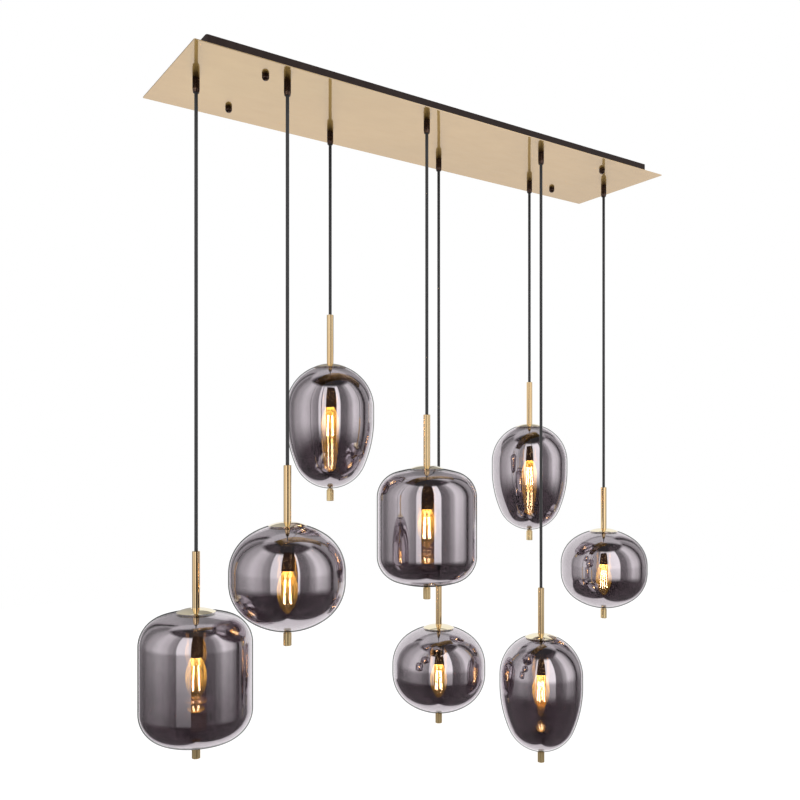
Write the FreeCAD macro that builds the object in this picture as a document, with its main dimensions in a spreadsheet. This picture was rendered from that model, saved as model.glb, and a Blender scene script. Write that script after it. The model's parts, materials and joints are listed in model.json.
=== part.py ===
"""Cluster pendant: eight mirror-smoked glass shades on textile cords under one long canopy.

The frame is the ceiling's: z = 0 is the ceiling plane, +X runs along the canopy, +Y across it, and everything
hangs below. The canopy is a tray that is open to the ceiling, with a thin mirror plate under it. Each pendant
hangs from its own cord grip, swings there, and tilts where its cord enters the brass stem.

Each pendant's pieces are drawn about one datum, the plane of the round opening on top of the glass.
"""

import FreeCAD, Part
import math
import os
import re
import Sketcher

# Driving dimensions, in millimetres unless the name says degrees.
SIZES = {
    # canopy
    "housing_length": 1025.0,
    "housing_width": 205.0,
    "housing_height": 24.0,
    "housing_corner": 4.0,
    "housing_wall": 1.2,
    "plate_end_overhang": 27.5,
    "plate_side_overhang": 22.5,
    "plate_thickness": 1.5,
    "plate_corner": 2.0,
    # ceiling fixing
    "strap_inset": 112.5,
    "strap_end_margin": 14.0,
    "strap_width": 26.0,
    "strap_thickness": 2.0,
    "screw_spacing": 90.0,
    "screw_hole_radius": 2.6,
    "stud_inset": 25.5,
    "stud_radius": 2.0,
    "stud_chamfer": 0.4,
    "thread_gap": 0.05,
    "hole_gap": 0.3,
    "strap_nut_across": 7.0,
    "strap_nut_height": 3.2,
    "cap_nut_radius": 6.0,
    "cap_nut_height": 10.0,
    "cap_nut_rim": 4.5,
    "cap_nut_depth": 8.0,
    "cap_nut_play": 0.6,
    # cords and grips
    "cord_radius": 3.0,
    "cord_end_margin": 22.5,
    "cord_side_margin": 27.5,
    "cord_gap": 0.3,
    "cord_level": 10.5,
    "cord_rise_radius": 8.0,
    "cord_turn_radius": 24.0,
    "grip_length": 24.0,
    "grip_shoulder": 1.0,
    "grip_mouth_wall": 1.0,
    "grip_taper_length": 6.0,
    "grip_chamfer": 0.6,
    "grip_neck_wall": 1.7,
    "grip_neck_spare": 1.2,
    "grip_nut_wall": 2.0,
    "grip_nut_height": 3.0,
    "grip_screw_radius": 1.5,
    "grip_screw_length": 3.2,
    "grip_screw_level": 8.0,
    "grip_screw_socket": 0.75,
    "bell_depth": 8.0,
    "bell_flare": 0.9,
    # terminal block
    "block_length": 60.0,
    "block_side_margin": 7.0,
    "block_cover": 4.7,
    "block_chamfer": 1.5,
    "lane_wall": 1.4,
    "lane_depth": 12.0,
    "lane_grip": 9.0,
    "terminal_radius": 2.2,
    "terminal_height": 3.0,
    "terminal_inset": 4.5,
    "inlet_radius": 4.5,
    "inlet_depth": 9.0,
    # stem and cap
    "stem_length": 95.0,
    "stem_shoulder": 1.5,
    "stem_chamfer": 0.6,
    "stem_neck_wall": 1.7,
    "stem_neck_grip": 6.0,
    "cap_overlap": 4.0,
    "cap_height": 5.5,
    "cap_wall": 1.2,
    "cap_flat_radius": 9.0,
    "cap_crown_radius": 62.0,
    "seat_gap": 0.1,
    # lamp holder
    "bar_overlap": 7.5,
    "bar_play": 6.5,
    "bar_corner": 15.0,
    "bar_thickness": 1.5,
    "holder_cup_play": 6.5,
    "holder_cup_height": 24.0,
    "holder_cup_slope": 3.0,
    "holder_wall": 4.8,
    "holder_length": 70.0,
    "holder_neck_depth": 41.0,
    "holder_edge": 1.0,
    # bulb
    "bulb_radius": 17.7,
    "bulb_length": 73.0,
    "bulb_widest": 33.0,
    "bulb_tip_radius": 3.5,
    "bulb_shoulder_radius": 9.0,
    "bulb_shoulder": 3.0,
    "bulb_neck_gap": 0.2,
    "bulb_neck_length": 4.0,
    "bulb_wall": 0.8,
    "bulb_cap_radius": 6.9,
    "bulb_cap_length": 19.0,
    "bulb_cap_wall": 0.6,
    "bulb_contact_radius": 2.4,
    "bulb_contact_length": 5.0,
    # glass shades
    "opening_radius": 28.5,
    "glass_wall": 2.6,
    "foot_hole_gap": 0.6,
    "globe_radius": 97.6,
    "globe_height": 178.0,
    "globe_dome_radius": 115.0,
    "globe_corner_reach": 22.6,
    "cylinder_radius": 93.5,
    "cylinder_height": 220.0,
    "cylinder_dome_radius": 200.0,
    "cylinder_corner_reach": 43.5,
    "egg_radius": 85.0,
    "egg_height": 235.0,
    "egg_belt": 20.0,
    "egg_tip_radius": 72.0,
    # finial
    "finial_radius": 7.0,
    "finial_length": 24.0,
    "finial_neck_radius": 5.2,
    "finial_neck_length": 2.5,
    "finial_chamfer": 0.6,
    "finial_stud_radius": 2.0,
    "finial_nut_overlap": 3.4,
    "finial_nut_height": 3.0,
    # how far each cord stands along the canopy from its place in an even row
    "cord_shift_1": 0.0,
    "cord_shift_2": -9.0,
    "cord_shift_3": 18.0,
    "cord_shift_4": 0.0,
    "cord_shift_5": 0.0,
    "cord_shift_6": 11.0,
    "cord_shift_7": -22.0,
    "cord_shift_8": 0.0,
    # from the plate's underside down to each glass's opening
    "drop_1": 887.0,
    "drop_2": 744.0,
    "drop_3": 454.0,
    "drop_4": 650.0,
    "drop_5": 985.0,
    "drop_6": 997.0,
    "drop_7": 556.0,
    "drop_8": 796.0,
}

# Sizes that follow from the ones above, so that what fits together still fits when one of them changes.
FITTED = {
    "plate_length": "housing_length+2*plate_end_overhang",
    "plate_width": "housing_width+2*plate_side_overhang",
    "strap_spacing": "housing_length-2*strap_inset",
    "stud_spacing": "housing_width-2*stud_inset",
    "strap_length": "stud_spacing+2*strap_end_margin",
    "cord_pitch": "(housing_length-2*cord_end_margin)/7",
    "cord_row_offset": "housing_width/2-cord_side_margin",
    "bell_radius": "cord_radius+cord_gap+bell_flare",
    "grip_mouth_radius": "bell_radius+grip_mouth_wall",
    "grip_neck_radius": "cord_radius+cord_gap+grip_neck_wall",
    "grip_radius": "grip_neck_radius+grip_shoulder",
    "grip_nut_across": "2*(grip_neck_radius+grip_nut_wall)",
    "lane_pitch": "2*(cord_radius+cord_gap)+lane_wall",
    "block_width": "4*lane_pitch+2*block_side_margin",
    "block_height": "housing_height-housing_wall-cord_level+block_cover",
    "stem_neck_radius": "cord_radius+cord_gap+stem_neck_wall",
    "stem_radius": "stem_neck_radius+stem_shoulder",
    "globe_corner_radius": "globe_radius-globe_corner_reach",
    "cylinder_corner_radius": "cylinder_radius-cylinder_corner_reach",
    "cap_radius": "opening_radius+cap_overlap",
    "bar_length": "2*(opening_radius+bar_overlap)",
    "bar_width": "2*(opening_radius-bar_play)",
    "holder_cup_radius": "opening_radius-holder_cup_play",
    "holder_radius": "bulb_cap_radius+hole_gap+holder_wall",
    "bulb_neck_radius": "bulb_cap_radius-bulb_cap_wall-bulb_neck_gap",
    "foot_hole_radius": "finial_stud_radius+foot_hole_gap",
    "finial_nut_radius": "foot_hole_radius+finial_nut_overlap",
}

GLOBE, CYLINDER, EGG = "globe", "cylinder", "egg"
SHADE_TYPES = (CYLINDER, GLOBE, EGG, CYLINDER, GLOBE, EGG, EGG, GLOBE)
# the row of each cord, in row offsets from the canopy's middle line, and its lane into the terminal block
CORD_ROWS = (0, -1, 1, -1, 1, -1, 1, 0)
CORD_LANES = (0, -1, 1, -2, 2, -1, 1, 0)
PENDANTS = range(1, len(SHADE_TYPES) + 1)
LANES = range(-2, 3)
THROUGH_ALL = "ThroughAll"

doc = FreeCAD.newDocument("ClusterPendant")
sheet = doc.addObject("Spreadsheet::Sheet", "Sizes")
for row, (size_name, size) in enumerate(SIZES.items(), start=1):
    sheet.set(f"A{row}", size_name)
    sheet.set(f"B{row}", str(size))
    sheet.setAlias(f"B{row}", size_name)
doc.recompute()


# ---------------------------------------------------------------- drawing helpers


def bound(formula):
    """The formula with each named size pointed at its cell, and each fitted size written out."""
    return re.sub(r"[a-z]\w*", lambda word: spelled(word.group()), str(formula))


def spelled(name):
    """One name of a formula: a fitted size's own formula, a cell, or a name left as it is."""
    if name in FITTED:
        return f"({bound(FITTED[name])})"
    return f"Sizes.{name}" if name in SIZES else name


def value(formula):
    """The formula's value now."""
    return float(sheet.evalExpression(bound(formula)))


def vector(x, y, z=0.0):
    """A vector from three formulas or numbers."""
    return FreeCAD.Vector(value(x), value(y), value(z))


def new_body(label):
    """An empty body."""
    body = doc.addObject("PartDesign::Body", label)
    body.Label = label
    return body


def new_sketch(body, name, plane="XY_Plane", height="0"):
    """An empty sketch on one of the body's own planes, or at a height above it."""
    sketch = body.newObject("Sketcher::SketchObject", f"{body.Name}_{name}")
    origin_plane = next(f for f in body.Origin.OriginFeatures if f.Role == plane)
    sketch.AttachmentSupport = [(origin_plane, "")]
    sketch.MapMode = "FlatFace"
    sketch.setExpression("AttachmentOffset.Base.z", bound(height))
    return sketch


def pin(sketch, kind, geometry, point, formula):
    """Ties one coordinate of a sketched point to a formula."""
    number = sketch.addConstraint(
        Sketcher.Constraint(kind, -1, 1, geometry, point, value(formula))
    )
    sketch.setExpression(f"Constraints[{number}]", bound(formula))


def set_radius(sketch, geometry, formula):
    """Ties the radius of a sketched circle or arc to a formula."""
    number = sketch.addConstraint(
        Sketcher.Constraint("Radius", geometry, value(formula))
    )
    sketch.setExpression(f"Constraints[{number}]", bound(formula))


def draw_outline(sketch, corners):
    """A closed outline of lines and arcs.

    Each corner is (x, y), or (x, y, radius, side) where an arc leads on to the next corner. The arc's centre
    lies on the left of the way from corner to corner where side is 1, and on the right where it is -1.
    """
    places = [vector(corner[0], corner[1]) for corner in corners]
    ends = []
    for i, corner in enumerate(corners):
        here, there = places[i], places[(i + 1) % len(corners)]
        if len(corner) == 2:
            line = sketch.addGeometry(Part.LineSegment(here, there), False)
            ends.append((line, 1, 2))
            continue
        radius, side = value(corner[2]), corner[3]
        way = there - here
        left = FreeCAD.Vector(-way.y, way.x, 0).normalize()
        rise = math.sqrt(max(radius**2 - (way.Length / 2) ** 2, 0.0))
        centre = (here + there) * 0.5 + left * (side * rise)
        first, last = (here, there) if side == 1 else (there, here)
        angles = [math.atan2(p.y - centre.y, p.x - centre.x) for p in (first, last)]
        circle = Part.Circle(centre, FreeCAD.Vector(0, 0, 1), radius)
        arc = sketch.addGeometry(Part.ArcOfCircle(circle, *angles), False)
        ends.append((arc, 1, 2) if side == 1 else (arc, 2, 1))
    for i, (geometry, start, end) in enumerate(ends):
        onward, onward_start, _ = ends[(i + 1) % len(ends)]
        sketch.addConstraint(
            Sketcher.Constraint("Coincident", geometry, end, onward, onward_start)
        )
        pin(sketch, "DistanceX", geometry, start, corners[i][0])
        pin(sketch, "DistanceY", geometry, start, corners[i][1])
        if len(corners[i]) > 2:
            set_radius(sketch, geometry, corners[i][2])


def draw_circle(sketch, x, y, radius):
    """A circle at formulas' places."""
    circle = Part.Circle(vector(x, y), FreeCAD.Vector(0, 0, 1), value(radius))
    geometry = sketch.addGeometry(circle, False)
    pin(sketch, "DistanceX", geometry, 3, x)
    pin(sketch, "DistanceY", geometry, 3, y)
    set_radius(sketch, geometry, radius)


def rounded_rectangle(length, width, corner):
    """The corners of a centred rectangle with round corners, anticlockwise."""
    x, y = f"({length})/2", f"({width})/2"
    c = f"({corner})"
    return [
        (f"-{x}+{c}", f"-{y}"),
        (f"{x}-{c}", f"-{y}", corner, 1),
        (x, f"-{y}+{c}"),
        (x, f"{y}-{c}", corner, 1),
        (f"{x}-{c}", y),
        (f"-{x}+{c}", y, corner, 1),
        (f"-{x}", f"{y}-{c}"),
        (f"-{x}", f"-{y}+{c}", corner, 1),
    ]


def hexagon(across_flats):
    """The corners of a hexagon, one flat on either side along Y."""
    turns = [(math.cos(math.radians(60 * i)), math.sin(math.radians(60 * i))) for i in range(6)]
    corner_radius = f"({across_flats})/(2*cos(30deg))"
    return [(f"{c:.9f}*{corner_radius}", f"{s:.9f}*{corner_radius}") for c, s in turns]


def add_pad(body, name, sketch, length):
    """Raises a sketch into the body."""
    pad = body.newObject("PartDesign::Pad", f"{body.Name}_{name}")
    pad.Profile = sketch
    pad.setExpression("Length", bound(length))
    return pad


def add_hole(body, name, sketch, depth=THROUGH_ALL, reverse=False):
    """Cuts a sketch out of the body, right through or to a depth against the sketch's normal."""
    pocket = body.newObject("PartDesign::Pocket", f"{body.Name}_{name}")
    pocket.Profile = sketch
    pocket.Reversed = reverse
    if depth == THROUGH_ALL:
        pocket.Type = THROUGH_ALL
        pocket.Midplane = True
    else:
        pocket.setExpression("Length", bound(depth))
    return pocket


def turned(label, outline):
    """A body turned about its own Z axis from an outline of (radius, height) corners."""
    body = new_body(label)
    sketch = new_sketch(body, "profile", "XZ_Plane")
    draw_outline(sketch, outline)
    revolution = body.newObject("PartDesign::Revolution", f"{label}_turn")
    revolution.Profile = sketch
    revolution.ReferenceAxis = (sketch, ["V_Axis"])
    revolution.Angle = 360
    return body


def place(piece, x="0", y="0", z="0"):
    """Puts a piece's own origin at formulas' places."""
    for axis, formula in zip("xyz", (x, y, z)):
        piece.setExpression(f"Placement.Base.{axis}", bound(formula))
    return piece


def repeat(label, piece, places):
    """One sub-part of identical pieces: the same piece at each (x, y, z)."""
    copies = []
    for number, (x, y, z) in enumerate(places, start=1):
        copy = doc.addObject("App::Link", f"{label}_{number}")
        copy.LinkedObject = piece
        copies.append(place(copy, x, y, z))
    return join(label, copies)


def join(label, pieces):
    """One sub-part that holds several separate pieces."""
    compound = doc.addObject("Part::Compound", label)
    compound.Label = label
    compound.Links = pieces
    return compound


# ---------------------------------------------------------------- shared levels and places

HOUSING_FLOOR = "(-housing_height)"
HOUSING_DECK = "(-housing_height+housing_wall)"
PLATE_UNDERSIDE = "(-housing_height-plate_thickness)"
GRIP_MOUTH = f"({PLATE_UNDERSIDE}-grip_length)"
SWING_PIVOT = f"({GRIP_MOUTH}+bell_depth)"
STEM_TOP = "(cap_height+stem_length)"
TILT_PIVOT = f"({STEM_TOP}-bell_depth)"
CORD_BORE = "(cord_radius+cord_gap)"
CORD_HEIGHT = "(-cord_level)"
STUD_PLACES = [
    (f"{x}*strap_spacing/2", f"{y}*stud_spacing/2") for x in (-1, 1) for y in (-1, 1)
]


def cord_x(number):
    """How far along the canopy a pendant hangs."""
    return f"cord_pitch*{number - (len(SHADE_TYPES) + 1) / 2}+cord_shift_{number}"


def cord_y(number):
    """How far across the canopy a pendant hangs."""
    return f"cord_row_offset*{CORD_ROWS[number - 1]}"


def opening_z(number):
    """The height of a pendant's datum, the plane of its glass's opening."""
    return f"{PLATE_UNDERSIDE}-drop_{number}"


def place_pendant(piece, number):
    """Hangs a piece that is drawn about the glass's opening."""
    return place(piece, cord_x(number), cord_y(number), opening_z(number))


# ---------------------------------------------------------------- canopy


def make_canopy_plate():
    """The thin mirror plate, with holes for the grips' necks and the studs."""
    body = new_body("canopy_plate")
    blank = new_sketch(body, "blank")
    draw_outline(blank, rounded_rectangle("plate_length", "plate_width", "plate_corner"))
    add_pad(body, "sheet", blank, "plate_thickness")
    add_hole(body, "holes", canopy_holes(body))
    return place(body, z=PLATE_UNDERSIDE)


def make_canopy_housing():
    """The tray: a floor and four walls, open to the ceiling."""
    body = new_body("canopy_housing")
    floor = new_sketch(body, "floor")
    draw_outline(floor, rounded_rectangle("housing_length", "housing_width", "housing_corner"))
    add_pad(body, "floor_sheet", floor, "housing_wall")
    walls = new_sketch(body, "walls")
    draw_outline(walls, rounded_rectangle("housing_length", "housing_width", "housing_corner"))
    inner = [f"{size}-2*housing_wall" for size in ("housing_length", "housing_width")]
    draw_outline(walls, rounded_rectangle(*inner, "housing_corner-housing_wall"))
    add_pad(body, "wall_sheets", walls, "housing_height")
    add_hole(body, "holes", canopy_holes(body))
    return place(body, z=HOUSING_FLOOR)


def canopy_holes(body):
    """A sketch of the holes that go through both the tray and the plate."""
    holes = new_sketch(body, "hole_places")
    for number in PENDANTS:
        draw_circle(holes, cord_x(number), cord_y(number), "grip_neck_radius+hole_gap")
    for x, y in STUD_PLACES:
        draw_circle(holes, x, y, "stud_radius+hole_gap")
    return holes


def make_mounting_straps():
    """Two straps across the tray, screwed to the ceiling, that carry the studs."""
    strap = new_body("strap")
    blank = new_sketch(strap, "blank")
    draw_outline(blank, rounded_rectangle("strap_width", "strap_length", "strap_width/4"))
    add_pad(strap, "sheet", blank, "strap_thickness")
    holes = new_sketch(strap, "hole_places")
    for side in (-1, 1):
        draw_circle(holes, "0", f"{side}*screw_spacing/2", "screw_hole_radius")
        draw_circle(holes, "0", f"{side}*stud_spacing/2", "stud_radius+thread_gap")
    add_hole(strap, "holes", holes)
    places = [(f"{side}*strap_spacing/2", "0", "-strap_thickness") for side in (-1, 1)]
    return repeat("mounting_straps", strap, places)


def make_strap_studs():
    """Threaded studs that reach from the straps into the cap nuts."""
    bottom = f"{PLATE_UNDERSIDE}-cap_nut_depth+cap_nut_play"
    edge = "stud_radius-stud_chamfer"
    outline = [
        ("0", bottom),
        (edge, bottom),
        ("stud_radius", f"{bottom}+stud_chamfer"),
        ("stud_radius", "-seat_gap"),
        ("0", "-seat_gap"),
    ]
    return repeat("strap_studs", turned("stud", outline), [(x, y, "0") for x, y in STUD_PLACES])


def hexagon_nut(label, across, hole, height):
    """A flat hexagon nut that stands on its datum."""
    nut = new_body(label)
    blank = new_sketch(nut, "blank")
    draw_outline(blank, hexagon(across))
    draw_circle(blank, "0", "0", hole)
    add_pad(nut, "solid", blank, height)
    return nut


def make_strap_nuts():
    """The nuts that lock each stud under its strap."""
    nut = hexagon_nut("strap_nut", "strap_nut_across", "stud_radius+thread_gap", "strap_nut_height")
    level = "-strap_thickness-strap_nut_height"
    return repeat("strap_nuts", nut, [(x, y, level) for x, y in STUD_PLACES])


def make_cap_nuts():
    """Domed blind nuts that hold the plate up."""
    bore = "stud_radius+thread_gap"
    dome_rise = "(cap_nut_height-cap_nut_rim)"
    dome_radius = f"(cap_nut_radius^2+{dome_rise}^2)/(2*{dome_rise})"
    outline = [
        (bore, "0"),
        (bore, "-cap_nut_depth"),
        ("0", "-cap_nut_depth"),
        ("0", "-cap_nut_height", dome_radius, 1),
        ("cap_nut_radius", "-cap_nut_rim"),
        ("cap_nut_radius", "0"),
    ]
    nut = turned("cap_nut", outline)
    return repeat("cap_nuts", nut, [(x, y, PLATE_UNDERSIDE) for x, y in STUD_PLACES])


# ---------------------------------------------------------------- cord grips and the cords inside


def make_cord_grips():
    """Turned grips: a threaded neck through the canopy, a tapered barrel and a bell mouth for the cord."""
    neck_end = "housing_wall+plate_thickness+grip_nut_height+grip_neck_spare"
    outline = [
        (CORD_BORE, neck_end),
        (CORD_BORE, "bell_depth-grip_length"),
        ("bell_radius", "-grip_length"),
        ("grip_mouth_radius-grip_chamfer/2", "-grip_length"),
        ("grip_mouth_radius", "-grip_length+grip_chamfer/2"),
        ("grip_radius", "-grip_length+grip_taper_length"),
        ("grip_radius", "-grip_chamfer"),
        ("grip_radius-grip_chamfer", "0"),
        ("grip_neck_radius", "0"),
        ("grip_neck_radius", neck_end),
    ]
    grip = turned("grip", outline)
    side = new_sketch(grip, "screw_place", "XZ_Plane")
    draw_circle(side, "0", "-grip_screw_level", "grip_screw_radius+thread_gap")
    add_hole(grip, "screw_hole", side, "grip_radius+hole_gap", reverse=True)
    return repeat("cord_grips", grip, grip_places(PLATE_UNDERSIDE))


def grip_places(level):
    """Each pendant's place along and across the canopy, at one level."""
    return [(cord_x(number), cord_y(number), level) for number in PENDANTS]


def make_grip_nuts():
    """The thin nuts that pull the grips up against the canopy."""
    hole = "grip_neck_radius+thread_gap"
    nut = hexagon_nut("grip_nut", "grip_nut_across", hole, "grip_nut_height")
    return repeat("grip_nuts", nut, grip_places(HOUSING_DECK))


def make_grip_screws():
    """Grub screws in the grips' sides, with a hexagon socket, that hold the cords."""
    screw = new_body("grip_screw")
    tip = "cord_radius+seat_gap"
    blank = new_sketch(screw, "blank", "XZ_Plane", tip)
    draw_circle(blank, "0", "-grip_screw_level", "grip_screw_radius")
    add_pad(screw, "shank", blank, "grip_screw_length")
    socket = new_sketch(screw, "socket_place", "XZ_Plane", f"{tip}+grip_screw_length")
    draw_circle(socket, "0", "-grip_screw_level", "grip_screw_socket")
    add_hole(screw, "socket", socket, "grip_screw_length/2")
    return repeat("grip_screws", screw, grip_places(PLATE_UNDERSIDE))


def run_tube(points, bend_radii, radius):
    """A round tube along straight runs joined by tangent arcs, one radius for each inner point."""
    edges, here = [], points[0]
    for point, onward, bend in zip(points[1:-1], points[2:], bend_radii):
        arriving = (point - here).normalize()
        leaving = (onward - point).normalize()
        half_turn = arriving.getAngle(leaving) / 2
        reach = bend * math.tan(half_turn)
        start, end = point - arriving * reach, point + leaving * reach
        inward = (leaving - arriving).normalize()
        middle = point + inward * (bend / math.cos(half_turn) - bend)
        edges.append(Part.LineSegment(here, start).toShape())
        edges.append(Part.Arc(start, middle, end).toShape())
        here = end
    edges.append(Part.LineSegment(here, points[-1]).toShape())
    path = Part.Wire(edges)
    section = Part.Circle(points[0], points[1] - points[0], radius)
    tube = path.makePipeShell([Part.Wire([section.toShape()])], True, False)
    return tube, path.Length


def make_cord_tails():
    """The cords' fixed ends: from each grip up into the tray and along it to the terminal block."""
    start = f"{SWING_PIVOT}+cord_radius+cord_gap"
    radius = value("cord_radius")
    rise, turn = value("cord_rise_radius"), value("cord_turn_radius")
    tails = []
    for number in PENDANTS:
        x, y = cord_x(number), cord_y(number)
        lane = f"lane_pitch*{CORD_LANES[number - 1]}"
        side = -1 if number <= len(SHADE_TYPES) / 2 else 1
        points = [vector(x, y, start), vector(x, y, CORD_HEIGHT)]
        bends = [rise]
        if CORD_ROWS[number - 1]:
            points.append(vector(x, lane, CORD_HEIGHT))
            bends.append(turn)
        points.append(vector(f"{side}*(block_length/2-lane_grip)", lane, CORD_HEIGHT))
        tube, length = run_tube(points, bends, radius)
        share = tube.Volume / (math.pi * radius**2 * length)
        print(f"cord tail {number}: {length:.1f} mm, bend radii {bends}, volume ratio {share:.4f}")
        tails.append(tube)
    sub_part = doc.addObject("Part::Feature", "cord_tails")
    sub_part.Label = "cord_tails"
    sub_part.Shape = Part.makeCompound(tails)
    return sub_part


def make_terminal_block():
    """The block on the tray's floor: a blind bore for each cord, a screw over each, and the mains inlet."""
    body = new_body("terminal_block")
    blank = new_sketch(body, "blank")
    draw_outline(blank, rounded_rectangle("block_length", "block_width", "block_chamfer"))
    add_pad(body, "solid", blank, "block_height")
    bore_height = f"{CORD_HEIGHT}-{HOUSING_DECK}"
    for end, plane_height in ((-1, "-block_length/2"), (1, "block_length/2")):
        name = "left" if end == -1 else "right"
        bores = new_sketch(body, f"{name}_bores", "YZ_Plane", plane_height)
        for lane in LANES:
            draw_circle(bores, f"lane_pitch*{lane}", bore_height, CORD_BORE)
        add_hole(body, f"{name}_entries", bores, "lane_depth", reverse=end == -1)
    screws = new_sketch(body, "screw_places", "XY_Plane", "block_height")
    for end in (-1, 1):
        for lane in LANES:
            draw_circle(screws, terminal_x(end), f"lane_pitch*{lane}", "terminal_radius+thread_gap")
    add_hole(body, "screw_holes", screws, f"block_height-{bore_height}")
    inlet = new_sketch(body, "inlet_place", "XY_Plane", "block_height")
    draw_circle(inlet, "0", "0", "inlet_radius")
    add_hole(body, "mains_inlet", inlet, "inlet_depth")
    return place(body, z=HOUSING_DECK)


def terminal_x(end):
    """How far along the canopy the clamping screws of one end stand."""
    return f"{end}*(block_length/2-terminal_inset)"


def make_terminal_screws():
    """The clamping screws, each just above its cord."""
    screw = new_body("terminal_screw")
    blank = new_sketch(screw, "blank")
    draw_circle(blank, "0", "0", "terminal_radius")
    add_pad(screw, "shank", blank, "terminal_height")
    level = f"{CORD_HEIGHT}+cord_radius+seat_gap"
    places = [(terminal_x(end), f"lane_pitch*{lane}", level) for end in (-1, 1) for lane in LANES]
    return repeat("terminal_screws", screw, places)


# ---------------------------------------------------------------- glass forms, about the opening's plane


def crown(shade_type):
    """The outer radius of the sphere that the glass follows round its opening."""
    return {GLOBE: "globe_dome_radius", CYLINDER: "cylinder_dome_radius", EGG: "egg_radius"}[shade_type]


def crown_centre(shade_type):
    """The height of that sphere's centre."""
    return f"(-sqrt({crown(shade_type)}^2-opening_radius^2))"


def foot(shade_type):
    """The outer radius of the sphere that the glass follows round the finial."""
    return {GLOBE: "globe_dome_radius", CYLINDER: "cylinder_dome_radius", EGG: "egg_tip_radius"}[shade_type]


def foot_centre(shade_type):
    """The height of that sphere's centre."""
    return f"({foot(shade_type)}-{shade_type}_height)"


def sphere_rise(radius, distance):
    """How far a sphere's surface stands above its centre, at a distance from its axis."""
    return f"sqrt(({radius})^2-({distance})^2)"


def crown_height(shade_type, distance, depth="0"):
    """The height of the glass round the opening, at a distance from the axis and a depth in from outside."""
    return f"{crown_centre(shade_type)}+{sphere_rise(crown(shade_type) + '-' + depth, distance)}"


def foot_height(shade_type, distance, depth="0"):
    """The height of the glass round the finial, at a distance from the axis and a depth in from outside."""
    return f"{foot_centre(shade_type)}-{sphere_rise(foot(shade_type) + '-' + depth, distance)}"


def rounded_side(shade_type, depth):
    """The corners of a globe or rounded cylinder, from top dome to bottom dome, at a depth from outside."""
    reach = f"{shade_type}_corner_reach"
    spread = f"({shade_type}_dome_radius-{shade_type}_corner_radius)"
    rise = f"sqrt({spread}^2-{reach}^2)"
    dome = f"({shade_type}_dome_radius-{depth})"
    corner = f"{shade_type}_corner_radius-{depth}"
    side = f"{shade_type}_radius-{depth}"
    top, bottom = crown_centre(shade_type), foot_centre(shade_type)
    return [
        (f"{dome}*{reach}/{spread}", f"{top}+{dome}*{rise}/{spread}", corner),
        (side, f"{top}+{rise}", None),
        (side, f"{bottom}-{rise}", corner),
        (f"{dome}*{reach}/{spread}", f"{bottom}-{dome}*{rise}/{spread}", dome),
    ]


def egg_side(depth):
    """The egg's corners from its crown to its tip, at a depth in from outside: belt, long side arc, tip."""
    belt_bottom = f"({crown_centre(EGG)}-egg_belt)"
    drop = f"({belt_bottom}-{foot_centre(EGG)})"
    side = f"((egg_radius^2+{drop}^2-egg_tip_radius^2)/(2*(egg_radius-egg_tip_radius)))"
    share = f"(({side}-{depth})/({side}-egg_tip_radius))"
    edge = f"egg_radius-{depth}"
    return [
        (edge, crown_centre(EGG), None),
        (edge, belt_bottom, f"{side}-{depth}"),
        (
            f"egg_radius-{side}+({side}-egg_radius)*{share}",
            f"{belt_bottom}-{drop}*{share}",
            f"egg_tip_radius-{depth}",
        ),
    ]


def glass_wall_line(shade_type, depth):
    """One face of the glass, from opening to finial hole, as rows of radius, height and next arc's radius."""
    start = ("opening_radius", crown_height(shade_type, "opening_radius", depth))
    end = ("foot_hole_radius", foot_height(shade_type, "foot_hole_radius", depth), None)
    sides = egg_side(depth) if shade_type == EGG else rounded_side(shade_type, depth)
    return [(*start, f"{crown(shade_type)}-{depth}"), *sides, end]


def make_shade(number):
    """One blown shade: outer and inner face between the opening's rim and the finial's hole."""
    shade_type = SHADE_TYPES[number - 1]
    outer = glass_wall_line(shade_type, "0")
    inner = glass_wall_line(shade_type, "glass_wall")
    outline = [
        (x, z) if bend is None else (x, z, bend, -1)
        for x, z, bend in outer
    ]
    # the inner face runs back up, so each corner takes the arc that led down to it
    for i in range(len(inner) - 1, -1, -1):
        x, z, _ = inner[i]
        bend = inner[i - 1][2] if i else None
        outline.append((x, z) if bend is None else (x, z, bend, 1))
    return place_pendant(turned(f"{shade_type}_shade_{number}", outline), number)


# ---------------------------------------------------------------- pendant pieces


def make_cord(number):
    """The free cord from its grip to its stem, round at both ends where it bends."""
    length = f"(-({opening_z(number)})-{TILT_PIVOT}+{SWING_PIVOT})"
    outline = [
        ("0", "cord_radius", "cord_radius", -1),
        ("cord_radius", "0"),
        ("cord_radius", f"-{length}", "cord_radius", -1),
        ("0", f"-{length}-cord_radius"),
    ]
    body = turned(f"cord_{number}", outline)
    doc.recompute()
    run = value(length)
    radius = value("cord_radius")
    tube = math.pi * radius**2 * run + 4 / 3 * math.pi * radius**3
    print(f"cord {number}: {run:.1f} mm between its bends, volume ratio {body.Shape.Volume / tube:.4f}")
    return place(body, cord_x(number), cord_y(number), SWING_PIVOT)


def bar_height(number):
    """The height of the holding bar's top: its corners meet the inside of the glass."""
    reach = "(sqrt((bar_length/2-bar_corner)^2+(bar_width/2-bar_corner)^2)+bar_corner)"
    return f"({crown_height(SHADE_TYPES[number - 1], reach, 'glass_wall')}-seat_gap)"


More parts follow.
